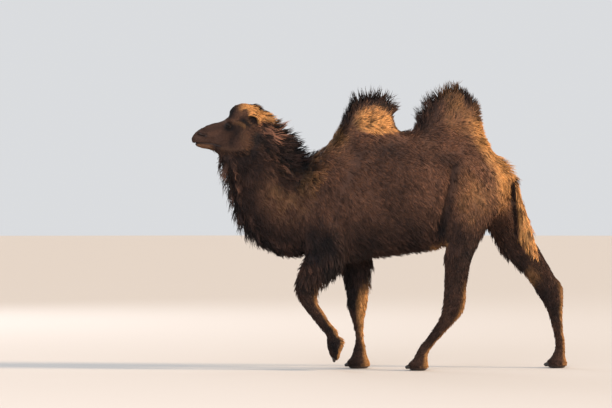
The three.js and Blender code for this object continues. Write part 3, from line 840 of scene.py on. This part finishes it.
for name, side in (("eye_left", 1), ("eye_right", -1)):
    bpy.ops.mesh.primitive_uv_sphere_add(
        segments=40, ring_count=24, radius=eye["radius"], rotation=(0, math.radians(90), 0))
    ball = bpy.context.object
    ball.name = "ball_" + name
    bpy.ops.object.transform_apply(location=True, rotation=True, scale=True)
    ballCo = coordsOf(ball.data)
    facing = ballCo @ outward / eye["radius"]
    ballCo += outward * (eye["cornea"] * ramp(facing, 0.72, 0.98))[:, None]
    ballCo[:, 0] *= side
    setCoords(ball.data, ballCo + eyeAt * [side, 1, 1])
    if side < 0:
        ball.data.flip_normals()
    finishPiece(ball, eyeball, "eye", name)

# horn, worn smooth: brown black with paler growth lines, from the shapes of the toes' own nails
nailSizes = {
    "voxel": 0.0022,
    "rounds": 8,
    "root": [0, 0.014, 0.006],         # from the middle of its box, where the nail grows out
    "kept": [0.8, 0.86, 0.82],         # share of its size that shows out of the hair
    "colours": ((0.3, "#15110f"), (0.75, "#3b3029")),
}
horn, tree, shader = newMaterial("worn horn")
place = addNode(tree, "TexCoord", output="Object")
pressed = addNode(tree, "Mapping", {"Vector": place, "Scale": (1, 1, 4)})
growthLines = addNode(tree, "TexNoise", {"Vector": pressed, "Scale": 90.0, "Detail": 4.0})
hornColour = addNode(tree, "ValToRGB", {"Fac": growthLines})
for stop, (position, colour) in zip(hornColour.node.color_ramp.elements, nailSizes["colours"]):
    stop.position = position
    stop.color = linear(colour)
setInputs(tree, shader, {
    "Base Color": hornColour,
    "Normal": addNode(tree, "Bump", {"Height": growthLines, "Strength": 0.4, "Distance": 0.001}),
    "Roughness": 0.55,
})
for name in nails:
    nail = copiesJoined([name], "horn_" + name)
    applyModifier(nail, "REMESH", {"mode": "VOXEL", "voxel_size": nailSizes["voxel"], "adaptivity": 0})
    nailCo = relax(coordsOf(nail.data), edgesOf(nail.data), 0.5, nailSizes["rounds"])
    nailRoot = nailAt[name] + nailSizes["root"]
    setCoords(nail.data, nailRoot + (nailCo - nailRoot) * nailSizes["kept"])
    finishPiece(nail, horn, "nail", name)
print("eyes and nails made")

# which way the hair grows: a place, and there the way's parts along the body and upwards
growth = [
    (0.04, -1.36, 1.73, 1.0, 0.35), (0.06, -1.25, 1.74, 1.0, 0.1), (0.06, -1.25, 1.65, 1.0, -0.15),
    (0.09, -1.13, 1.76, 1.0, -0.15), (0.09, -1.06, 1.83, 1.0, 0.25), (0.05, -1.08, 1.92, 0.8, 0.6),
    (0.1, -1.01, 1.7, 0.75, -0.65), (0.1, -1.05, 1.63, 0.9, -0.4), (0.0, -0.98, 1.95, 1.0, 0.2),
    (0.09, -0.9, 1.86, 1.0, -0.1), (0.0, -0.84, 1.88, 0.9, -0.2), (0.05, -1.2, 1.57, -0.15, -1.0),
    (0.1, -1.05, 1.5, 0.35, -0.93), (0.0, -1.17, 1.4, 0.05, -1.0), (0.0, -1.11, 1.15, 0.1, -1.0),
    (0.0, -0.95, 0.93, 0.45, -0.88), (0.0, -0.75, 0.84, 0.7, -0.7), (0.18, -0.9, 1.4, 0.45, -0.88),
    (0.18, -0.85, 1.15, 0.45, -0.88), (0.15, -0.78, 1.62, 0.75, -0.66), (0.0, -0.72, 1.77, 0.95, 0.15),
    (0.12, -0.66, 1.62, 0.85, -0.5), (0.0, -0.62, 1.66, 0.95, 0.1), (0.15, -0.5, 1.56, 0.9, -0.42),
    (0.25, -0.45, 1.3, 0.6, -0.8), (0.25, -0.42, 1.05, 0.4, -0.9), (0.12, -0.36, 1.74, 0.55, 0.25),
    (0.0, -0.37, 1.76, -0.2, 1.0), (0.0, -0.3, 1.84, -0.1, 1.0), (0.0, -0.17, 2.0, -0.12, 1.0),
    (0.0, -0.05, 2.03, 0.2, 1.0), (0.0, 0.1, 1.93, 0.75, 0.75), (0.14, -0.07, 1.86, 0.5, 0.1),
    (0.16, -0.1, 1.74, 0.8, -0.45), (0.0, 0.18, 1.77, 1.0, 0.15), (0.2, 0.18, 1.68, 0.85, -0.45),
    (0.0, 0.27, 1.82, -0.55, 0.85), (0.0, 0.36, 1.96, -0.35, 1.0), (0.0, 0.52, 2.08, 0.0, 1.0),
    (0.0, 0.64, 1.98, 0.45, 0.9), (0.12, 0.5, 1.9, 0.3, 0.75), (0.0, 0.76, 1.8, 0.75, 0.2),
    (0.16, 0.5, 1.74, 0.75, -0.3), (0.16, 0.68, 1.76, 0.8, -0.35), (0.0, 0.9, 1.6, 0.85, -0.45),
    (0.3, 0.0, 1.4, 0.7, -0.7), (0.3, 0.3, 1.35, 0.7, -0.7), (0.25, 0.0, 1.05, 0.7, -0.7),
    (0.0, 0.1, 0.92, 1.0, -0.2), (0.28, 0.55, 1.3, 0.35, -0.92), (0.25, 0.8, 1.35, 0.55, -0.84),
    (0.2, 0.6, 1.02, 0.0, -1.0), (0.1, 0.97, 1.35, 0.5, -0.86), (0.0, 1.0, 1.3, 0.25, -0.97),
    (0.0, 1.09, 1.05, 0.28, -0.96), (0.18, -0.45, 0.78, 0.1, -1.0), (0.18, -0.42, 0.45, 0.45, -0.9),
    (0.14, -0.2, 0.6, 0.0, -1.0), (0.14, -0.2, 0.25, 0.0, -1.0), (0.19, 0.52, 0.72, 0.05, -1.0),
    (0.19, 0.45, 0.35, -0.55, -0.85), (-0.19, 0.95, 0.85, 0.55, -0.85), (-0.19, 1.28, 0.4, 0.15, -1.0),
]
crestLine = [(-0.305, 1.88), (-0.27, 1.94), (-0.18, 2.0), (-0.07, 2.01), (0.06, 2.0), (0.1, 1.95)]
rearCrestLine = [
    (0.28, 1.87), (0.34, 1.95), (0.44, 2.02), (0.53, 2.06), (0.62, 1.99), (0.72, 1.86), (0.76, 1.76),
]
plainHair = {
    "length": 0.044,
    "width": 0.0068,
    "rise": 0.24,          # radians from the skin
    "droop": 0.1,          # how much its own weight draws it down
    "cover": 2.35,         # how many tufts deep the coat lies
    "curl": 0.0025,
    "contrast": 1.25,      # between one lock and the next
    "gather": 0.42,        # how far the tips of a lock draw together
}
coat = {
    "legCover": 1.9,
    "faceCover": 1.5,
    "filled": 0.62,        # of its length times its width, what a tuft covers
    "sink": 0.004,         # how far a root starts under the skin
    "thickness": 0.42,     # of a tuft, to its width
    "patch": 0.003,        # of a tuft on the unwrap
    "longFrom": 0.052,     # longer tufts get more rings
    "top": 2.125,          # above this the tips are kept low
    "maxTriangles": 190000,
}
tuftKinds = {
    "Long": {"rings": (0.0, 0.22, 0.44, 0.65, 0.84), "taper": (0.7, 1.0, 0.92, 0.74, 0.42)},
    "Short": {"rings": (0.0, 0.45), "taper": (0.8, 0.9)},
}


def growthWay(co):
    # the way the hair lies: the ways of all places, the nearest counting most
    total = np.zeros_like(co)
    for x, y, z, along, up in growth:
        offset = co - np.array([x, y, z])
        if abs(x) > 0.01 and not (z < 0.95 and y > 0.3):     # on both flanks, but for the hind legs
            offset[:, 0] = np.abs(co[:, 0]) - abs(x)
        weight = 1 / ((offset ** 2).sum(1) + 0.0009) ** 2
        total += weight[:, None] * np.array([0, along, up]) / np.linalg.norm([0, along, up])
    return unitRows(total)


def hairShape(co, normals):
    # the hair at each place: plain hair, changed towards what each part of the body has
    x, y, z = np.abs(co[:, 0]), co[:, 1], co[:, 2]
    shape = {key: np.full(len(co), value) for key, value in plainHair.items()}

    def towards(mask, **goals):
        for name, goal in goals.items():
            shape[name] += (goal - shape[name]) * mask

    # neck
    onNeck = ramp(-y, 0.5, 0.7) * ramp(z, 0.85, 1.0)
    towards(onNeck, length=0.06, rise=0.36, width=0.0064, curl=0.008, gather=0.6)
    mane = near(co, [(-0.8, 1.74), (-0.7, 1.62), (-0.62, 1.5)], 0.24)
    towards(mane, length=0.098, width=0.007, rise=0.52, droop=0.35, cover=2.6)
    towards(mane, curl=0.014, contrast=2.1, gather=0.9)
    throat = near(co, throatLine, 0.17)
    towards(throat, length=0.108, width=0.0066, rise=0.68, droop=0.42, cover=2.4)
    towards(throat, curl=0.014, contrast=1.8, gather=0.85)
    towards(near(co, throatLine[:4], 0.11), length=0.118, rise=0.74, gather=0.68)
    nape = near(co, napeLine, 0.13, 0.06)
    towards(nape, length=0.096, rise=0.92, droop=0.06, width=0.0056, cover=2.4, curl=0.007)

    # belly and legs
    belly = ramp(-normals[:, 2], 0.25, 0.65) * ramp(y, -0.5, -0.2) * ramp(z, 0.75, 0.82)
    towards(belly, length=0.058, rise=0.5, droop=0.7, gather=0.7)
    legs = 1 - ramp(z, 0.62, 0.86)
    towards(legs, length=0.034, width=0.0056, rise=0.36, droop=0.08, cover=coat["legCover"])
    forearm = ramp(z, 0.46, 0.74) * (1 - ramp(z, 0.92, 1.02)) * (1 - ramp(y, -0.1, 0.0))
    towards(forearm, length=0.064, width=0.0068, rise=0.42, droop=0.6, cover=2.2, gather=0.7)
    elbow = near(co, [(-0.3, 0.86), (-0.42, 0.76), (-0.44, 0.66)], 0.12) * ramp(normals[:, 1], -0.2, 0.5)
    towards(elbow, length=0.095, rise=0.55, droop=0.9, gather=0.8)
    otherElbow = near(co, [(-0.1, 0.76), (-0.08, 0.66)], 0.08) * ramp(normals[:, 1], 0.0, 0.5)
    towards(otherElbow, length=0.08, rise=0.6, droop=0.8, gather=0.8)
    shin = near(co, [(0.84, 0.98), (0.93, 0.8), (1.01, 0.72)], 0.08) * ramp(-normals[:, 1], -0.2, 0.5)
    towards(shin, length=0.06, rise=0.6, droop=0.7, gather=0.8)
    towards(1 - ramp(z, 0.08, 0.26), length=0.016, width=0.004, rise=0.28)
    towards(blob(co, (0.47, 0.86), (0.1, 0.1)) * (z > 0.78), length=0.058, droop=0.7, rise=0.4)

    # humps and back, along the middle
    ridge = 1 - ramp(np.abs(normals[:, 0]), 0.45, 0.85)
    crest = np.maximum(near(co, crestLine, 0.11, 0.06), near(co, rearCrestLine, 0.13, 0.07)) * ridge
    towards(crest, length=0.1, rise=1.1, droop=0.0, width=0.0048, cover=4.0, curl=0.007, gather=0.3)
    frontFace = near(co, [(-0.36, 1.71), (-0.33, 1.8), (-0.29, 1.89)], 0.11) * ridge
    towards(frontFace, length=0.066, rise=0.72, cover=3.6, gather=0.25)
    towards(blob(co, (0.53, 2.05), (0.1, 0.12)) * ridge, length=0.138)
    towards(blob(co, (0.085, 1.93), (0.06, 0.09)) * ridge, length=0.07, rise=0.8)
    towards(near(co, rearCrestLine[4:] + [(0.86, 1.62)], 0.1) * ridge, length=0.046, rise=0.45)
    rearSlope = near(co, [(0.6, 2.02), (0.65, 1.96), (0.69, 1.91)], 0.08) * ridge
    towards(rearSlope, length=0.072, rise=0.72, cover=3.2)
    towards(near(co, [(0.73, 1.86), (0.76, 1.8)], 0.06) * ridge, length=0.05, rise=0.4)
    towards(near(co, [(0.18, 1.775), (0.25, 1.78)], 0.08) * ridge, length=0.052, rise=0.95, cover=3.0)
    towards(near(co, [(-0.53, 1.6), (-0.44, 1.65)], 0.08) * ridge, length=0.074, rise=0.66, cover=3.0)

    # tail
    towards(near(co, [(0.9, 1.57), (0.94, 1.53), (0.98, 1.48)], 0.1), length=0.092, rise=0.9)
    tail = ramp(y, 0.96, 1.0) * (1 - ramp(x, 0.06, 0.09)) * ramp(z, 0.75, 0.85)
    towards(tail, length=0.084, rise=0.3, droop=0.8, width=0.0068, curl=0.006, contrast=1.8, gather=0.8)

    # head: shortest at the nose, longer towards the poll
    head = faceMask(co)
    towards(head, length=0.0095, width=0.0024, rise=0.17, droop=0.0, cover=coat["faceCover"])
    towards(head, curl=0.0005, contrast=0.4)
    towards(head * (1 - ramp(-y, 0.98, 1.26)), length=0.017, width=0.0034, rise=0.26)
    towards(head * (1 - ramp(-y, 0.93, 1.02)), length=0.034, width=0.0056, rise=0.34)
    poll = blob(co, (-0.92, 1.935), (0.17, 0.1)) * (z > 1.84)
    towards(poll, length=0.04, width=0.005, rise=0.5, cover=2.3, curl=0.006, contrast=1.5)
    towards(poll * ramp(-y, 0.92, 0.97), length=0.026, rise=0.3)
    fringe = near(co, [(-0.93, 1.95), (-0.87, 1.925), (-0.81, 1.88)], 0.06) * (1 - ramp(x, 0.03, 0.08))
    towards(fringe, length=0.064, rise=0.66, droop=0.16, cover=3.0, gather=0.6)
    towards(near(co, [(-1.25, 1.63), (-1.2, 1.61)], 0.045), length=0.035, width=0.005, rise=0.35, droop=0.6)
    beard = near(co, [(-1.19, 1.6), (-1.1, 1.595), (-1.0, 1.6)], 0.035)
    towards(beard, length=0.05, width=0.0055, rise=0.4, droop=0.6)
    towards(blob(co, (-0.045, 1.85), (0.26, 0.2)), contrast=2.1)       # front hump
    towards(blob(co, (0.85, 1.4), (0.28, 0.36)), contrast=1.75)        # rump
    lids = head * (1 - ramp(eyeOpening(co)[1], 0.024, 0.04))
    towards(lids, length=0.006, width=0.0018, rise=0.15)
    local = earLocal(co)
    onEar = ramp(local[:, 2], -0.045, -0.03) * (np.linalg.norm(local[:, :2], axis=1) < 0.05)
    towards(onEar, length=0.016, width=0.0034, rise=0.25, cover=1.8)
    shape["cover"] *= 1 - ramp(bareness(co), 0.2, 0.6)
    shape["cover"] *= ramp(z, 0.02, 0.035)
    return shape


# roots spread evenly over the skin's triangles, as many as the hair's size there asks for
mesh = skin.data
mesh.calc_loop_triangles()
triVerts = rowsOf(mesh.loop_triangles, "vertices", 3, np.int32)
triLoops = rowsOf(mesh.loop_triangles, "loops", 3, np.int32)
cornerUv = rowsOf(mesh.uv_layers["OFBake"].data, "uv", 2)
corners = co[triVerts]
area = np.linalg.norm(np.cross(corners[:, 1] - corners[:, 0], corners[:, 2] - corners[:, 0]), axis=1) / 2
shape = hairShape(corners.mean(1), unitRows(normals[triVerts].mean(1)))
wanted = area * shape["cover"] / (shape["length"] * shape["width"] * coat["filled"])
running = np.cumsum(wanted)
count = int(running[-1])
marks = (np.arange(count) + rng.uniform(0, 1, count)) * running[-1] / count
chosen = np.searchsorted(running, marks).clip(0, len(triVerts) - 1)
a, b = rng.uniform(0, 1, count), rng.uniform(0, 1, count)
flip = a + b > 1
a, b = np.where(flip, 1 - a, a), np.where(flip, 1 - b, b)
weights = np.column_stack([1 - a - b, a, b])[:, :, None]
roots = (corners[chosen] * weights).sum(1)
rootNormals = unitRows((normals[triVerts[chosen]] * weights).sum(1))
rootUv = (cornerUv[triLoops[chosen]] * weights).sum(1)
shape = hairShape(roots, rootNormals)
print("coat roots", count)


def drifts(co, size, seeds):
    # a drift of its own along each axis
    return np.column_stack([drift(co, size, seed) for seed in seeds])


def leaning(angle):
    # along the skin at first, lifted by an angle
    return lie * np.cos(angle)[:, None] + rootNormals * np.sin(angle)[:, None]


def alongSkin(rows):
    # what is left of a direction once its part out of the skin is taken away
    return rows - (rows * rootNormals).sum(1)[:, None] * rootNormals


# hair gathers in locks, wider where it is longer: each tuft bends towards the middle of its lock
locks = {"least": 0.003, "perLength": 0.43, "grid": 0.02, "wander": 0.01}
cell = locks["least"] + locks["perLength"] * shape["length"]
cellSize = np.round(np.log2(cell / locks["grid"]) * 2)
grain = locks["grid"] * 2 ** (cellSize / 2)
wandered = roots + locks["wander"] * drifts(roots, 0.05, (31, 32, 33))
keys = np.column_stack([cellSize, np.floor(wandered / grain[:, None])])
lockNames, lockOf = np.unique(keys, axis=0, return_inverse=True)
lockOf = lockOf.ravel()
lockSums = np.column_stack([np.bincount(lockOf, roots[:, axis]) for axis in range(3)])
lockMiddle = (lockSums / np.bincount(lockOf).astype(float)[:, None])[lockOf]
lockLuck = rng.uniform(0, 1, (len(lockNames), 4))[lockOf]
ownLuck = rng.uniform(0, 1, (count, 4))

# each tuft is a curve from its start over a bend to its tip
way = growthWay(roots) + 0.2 * drifts(roots, 0.16, (21, 22, 23))
way = way + 0.35 * (lockLuck[:, :3] - 0.5) + 0.22 * (ownLuck[:, :3] - 0.5)
lie = unitRows(alongSkin(way))
rise = shape["rise"] * (0.4 + 0.9 * lockLuck[:, 3] + 0.35 * ownLuck[:, 3])
upright = ramp(shape["rise"], 0.6, 1.0)
first = unitRows(leaning(rise) + upright[:, None] * unitRows(way) * 0.8)
weight = shape["droop"][:, None] * np.array([0, 0, -1.0])
second = unitRows(leaning(rise * 0.35) + weight + upright[:, None] * (first - lie) * 0.85)
length = shape["length"] * (0.65 + 0.45 * ownLuck[:, 0] + 0.25 * lockLuck[:, 0])
length *= 1 + 0.15 * upright * (ownLuck[:, 1] > 0.9) - 0.3 * upright * (ownLuck[:, 1] < 0.45)
width = shape["width"] * (0.8 + 0.4 * ownLuck[:, 1])
start = roots - rootNormals * np.minimum(coat["sink"], 0.07 * length)[:, None]
bend = start + first * (length * 0.5)[:, None]
tip = bend + second * (length * 0.5)[:, None]
gathered = shape["gather"][:, None] * alongSkin(lockMiddle - roots)
tip = tip + gathered
bend = bend + 0.45 * gathered
tip[:, 2] -= 0.75 * (tip[:, 2] - coat["top"]).clip(0)
tip[:, 2] = tip[:, 2].clip(0.002)
bend[:, 2] = bend[:, 2].clip(0.002)

# how light or dark each tuft is beside its neighbours, and its share of the markings and of the painted
# light and shade
rootDark, rootTan = markingsAndPaintedLight(roots, rootNormals)
shade = 0.5 + shape["contrast"] * (0.72 * lockLuck[:, 1] + 0.28 * ownLuck[:, 2] - 0.5)
shade += 0.9 * (shape["contrast"] > 1.45) * (lockLuck[:, 0] > 0.84)     # a few locks catch the light
local = earLocal(roots)
# painted sunlight: the ear's rim is lit brighter
earRim = (earInner(local) > 0.92) * (local[:, 0] > -0.01)
shade += 0.8 * earRim * (np.linalg.norm(local[:, :2], axis=1) < 0.045) * (np.abs(local[:, 2]) < 0.06)
# painted sheen: some locks of the mane and throat are made paler
sheenLocks = (lockLuck[:, 1] > 0.7) * ramp(shape["contrast"], 1.3, 1.9) * ramp(-roots[:, 1], 0.5, 0.6)
rootDark = rootDark - (0.06 + 0.24 * near(roots, [(-1.13, 1.52), (-1.09, 1.25)], 0.12)) * sheenLocks
# painted sunlight: the back of the tail is let lighter still
tailBack = ramp(roots[:, 1], 0.97, 1.0) * (np.abs(roots[:, 0]) < 0.08) * (roots[:, 2] > 0.8)
shade = np.minimum(shade, 1.5 - 0.9 * rootTan + 0.28 * tailBack)        # pale hair never glares
shade -= 0.3 * near(roots, [(-0.82, 1.78), (-0.72, 1.66), (-0.64, 1.54)], 0.18) * (1 - rootTan)
# painted sheen: the black hair of the mane shines grey in places
greySheenLocks = (lockLuck[:, 0] > 0.5) * near(roots, [(-0.86, 1.8), (-0.8, 1.75)], 0.095) * (1 - rootTan)
shade += 1.9 * greySheenLocks     # black hair of the mane shines grey in places
rootDark = rootDark * (1 - 0.65 * greySheenLocks)
streaky = ramp(roots[:, 1], 0.8, 0.95) * (roots[:, 2] > 0.8)
rootTan = rootTan * (1 - streaky * (0.55 - lockLuck[:, 2]).clip(0))
tufts = dict(start=start, bend=bend, tip=tip, normal=rootNormals, width=width, uv=rootUv)
tufts["curl"] = shape["curl"] * (0.4 + 1.2 * ownLuck[:, 3])
tufts["phase"] = 6.28 * lockLuck[:, 2] + 0.9 * ownLuck[:, 1]
tufts.update(shade=shade, dark=rootDark.clip(0, 1), tan=rootTan, luck=ownLuck[:, 0] * 60)


def tuftMesh(name, tufts, kind, material):
    # thin closed three-sided tufts that wave a little and taper to a point
    rings = tuftKinds[kind]["rings"]
    n, r = len(tufts["start"]), len(rings)
    start, bend, tip = (tufts[key][:, None] for key in ("start", "bend", "tip"))
    t = np.array(list(rings) + [1.0])[None, :, None]
    path = start * (1 - t) ** 2 + 2 * t * (1 - t) * bend + t ** 2 * tip
    tangent = unitRows(2 * (1 - t) * (bend - start) + 2 * t * (tip - bend))
    across = unitRows(np.cross(tufts["normal"][:, None], tangent))
    above = np.cross(tangent, across)
    turn = tufts["phase"][:, None, None] + 7.0 * t
    path = path + tufts["curl"][:, None, None] * t * (across * np.sin(turn) + 0.5 * above * np.cos(turn))
    taper = np.array(tuftKinds[kind]["taper"])[None, :, None]
    half = tufts["width"][:, None, None] * 0.5 * taper
    ringPath, across, above = path[:, :r], across[:, :r], above[:, :r]
    low = -0.35 * coat["thickness"] * 2 * half * above
    points = np.stack([
        ringPath + across * half + low,
        ringPath + above * half * 2 * coat["thickness"] * 0.65,
        ringPath - across * half + low,
    ], axis=2).reshape(n, r * 3, 3)
    vertices = np.concatenate([points, path[:, r:]], axis=1).reshape(-1, 3)
    vertices[:, 2] = vertices[:, 2].clip(0.001)
    each = r * 3 + 1
    faces = [(2, 1, 0)]
    for ring in range(r - 1):
        for k in range(3):
            p, q = ring * 3 + k, ring * 3 + (k + 1) % 3
            faces += [(p, q, q + 3), (p, q + 3, p + 3)]
    for k in range(3):
        faces.append(((r - 1) * 3 + k, (r - 1) * 3 + (k + 1) % 3, r * 3))
    allFaces = (np.array(faces)[None] + (np.arange(n) * each)[:, None, None]).reshape(-1, 3)
    along = np.tile(np.concatenate([np.repeat(rings, 3), [1.0]]), n)
    side = np.tile(np.concatenate([np.tile([0.5, 0.0, -0.5], r), [0.0]]), n)
    uv = np.repeat(tufts["uv"], each, 0) + coat["patch"] * np.column_stack([side, along - 0.5])
    mesh = bpy.data.meshes.new(name)
    mesh.vertices.add(len(vertices))
    mesh.vertices.foreach_set("co", vertices.astype(np.float32).ravel())
    mesh.loops.add(allFaces.size)
    mesh.loops.foreach_set("vertex_index", allFaces.astype(np.int32).ravel())
    mesh.polygons.add(len(allFaces))
    mesh.polygons.foreach_set("loop_start", np.arange(0, allFaces.size, 3, dtype=np.int32))
    layer = mesh.uv_layers.new(name="OFBake")
    layer.data.foreach_set("uv", uv[allFaces.ravel()].astype(np.float32).ravel())
    addAttribute(mesh, "along", along)
    addAttribute(mesh, "across", side)
    for key in ("shade", "dark", "tan", "luck"):
        addAttribute(mesh, key, np.repeat(tufts[key], each))
    mesh.update(calc_edges=True)
    mesh.validate()
    piece = bpy.data.objects.new(name, mesh)
    scene.collection.objects.link(piece)
    finishPiece(piece, material, "coat")


# camel hair in tufts: matt, darker at the root, with sunbleached tips that catch the light
hair, tree, shader = newMaterial("camel hair in tufts")
along, shadeOf, acrossTuft, luck = (
    addNode(tree, "Attribute", output="Fac", attribute_name=name)
    for name in ("along", "shade", "across", "luck")
)
rootToTip = addNode(tree, "MapRange", {"Value": along, "To Min": 0.45, "To Max": 1.15})
lockToLock = addNode(tree, "MapRange", {"Value": shadeOf, "To Min": 0.5, "To Max": 1.7}, clamp=False)
lighten = addNode(tree, "Math", {0: rootToTip, 1: lockToLock}, operation="MULTIPLY")
strandPlace = addNode(tree, "CombineXYZ", {"X": acrossTuft, "Y": along, "Z": luck})
stretched = addNode(tree, "Mapping", {"Vector": strandPlace, "Scale": (9.0, 1.1, 1.0)})
strands = addNode(tree, "TexNoise", {"Vector": stretched, "Scale": 1.0, "Detail": 2.0})
strandTone = addNode(tree, "MapRange", {
    "Value": strands, "From Min": 0.32, "From Max": 0.68, "To Min": 0.6, "To Max": 1.35,
})
withStrands = addNode(tree, "Math", {0: lighten, 1: strandTone}, operation="MULTIPLY")
setInputs(tree, shader, {
    "Base Color": hairColour(tree, withStrands),
    "Normal": addNode(tree, "Bump", {"Height": strands, "Strength": 0.6, "Distance": 0.001}),
    "Roughness": 0.62,
    "Specular IOR Level": 0.16,
    "Sheen Weight": 0.04,
    "Sheen Roughness": 0.5,
})

# the coat in pieces by region and kind of tuft, none above the limit of triangles
x, y, z = np.abs(roots[:, 0]), roots[:, 1], roots[:, 2]
regionTests = {
    "Head": headMask(roots) > 0.5,
    "Tail": (y > 0.94) & (x < 0.09) & (z > 0.75),
    "Legs": z < 0.8,
    "Neck": y < -0.62,
    "Humps": z > 1.72,
    "Shoulder": y < -0.2,
    "Flank": y < 0.42,
}
regions = np.select(list(regionTests.values()), list(regionTests), "Rump")
kinds = np.where(length > coat["longFrom"], "Long", "Short")
total = 0
for region in sorted(set(regions)):
    for kind, looks in tuftKinds.items():
        inRegion = np.nonzero((regions == region) & (kinds == kind))[0]
        if not len(inRegion):
            continue
        inRegion = inRegion[np.argsort(roots[inRegion, 1], kind="stable")]
        triangles = len(inRegion) * (6 * len(looks["rings"]) - 2)
        total += triangles
        print("coat", region, kind, len(inRegion))
        parts = int(np.ceil(triangles / coat["maxTriangles"]))
        for number, pick in enumerate(np.array_split(inRegion, parts)):
            picked = {key: values[pick] for key, values in tufts.items()}
            tuftMesh(f"coat{region}{kind}{number + 1}", picked, kind, hair)
print("coat triangles", total)

# long dark lashes along the upper lids, and short ones below
lashes = {"upper": 44, "lower": 22, "length": 0.021, "lowerLength": 0.008, "width": 0.0018, "shade": 0.1}
s = np.concatenate([np.linspace(-0.95, 0.95, lashes["upper"]), np.linspace(-0.8, 0.8, lashes["lower"])])
isUpper = np.arange(len(s)) < lashes["upper"]
nothing = np.zeros(len(s))
for name, side in (("Left", 1), ("Right", -1)):
    u = s * eye["halfLength"]
    v = np.where(isUpper, eye["upper"] + 0.0012, -eye["lower"] - 0.0008) * (1 - s ** 2) - eye["slant"] * u
    lift = np.sqrt((eye["radius"] + 0.0022) ** 2 - u ** 2 - v ** 2)
    root = eyeAt + u[:, None] * eyeSide + v[:, None] * eyeUp + lift[:, None] * outward
    out = unitRows(outward + 0.45 * s[:, None] * eyeSide + np.where(isUpper, -0.18, -0.5)[:, None] * eyeUp)
    end = unitRows(outward + 0.75 * s[:, None] * eyeSide + np.where(isUpper, -0.85, -0.9)[:, None] * eyeUp)
    reach = np.where(isUpper, lashes["length"], lashes["lowerLength"]) * rng.uniform(0.8, 1.15, len(s))
    reach = reach[:, None]
    mirror = np.array([side, 1, 1])
    nearest = [np.argmin(((co - point * mirror) ** 2).sum(1)) for point in root]
    firstCorner = [np.nonzero(triVerts.ravel() == vertex)[0][0] for vertex in nearest]
    tuftMesh(f"lashes{name}", {
        "start": root * mirror,
        "bend": (root + out * reach * 0.55) * mirror,
        "tip": (root + out * reach * 0.55 + end * reach * 0.45) * mirror,
        "normal": np.tile(eyeUp * mirror, (len(s), 1)),
        "uv": cornerUv[triLoops.ravel()[firstCorner]],
        "width": nothing + lashes["width"],
        "shade": nothing + lashes["shade"],
        "dark": nothing + 1,
        **dict.fromkeys(("curl", "phase", "tan", "luck"), nothing),
    }, "Short", hair)
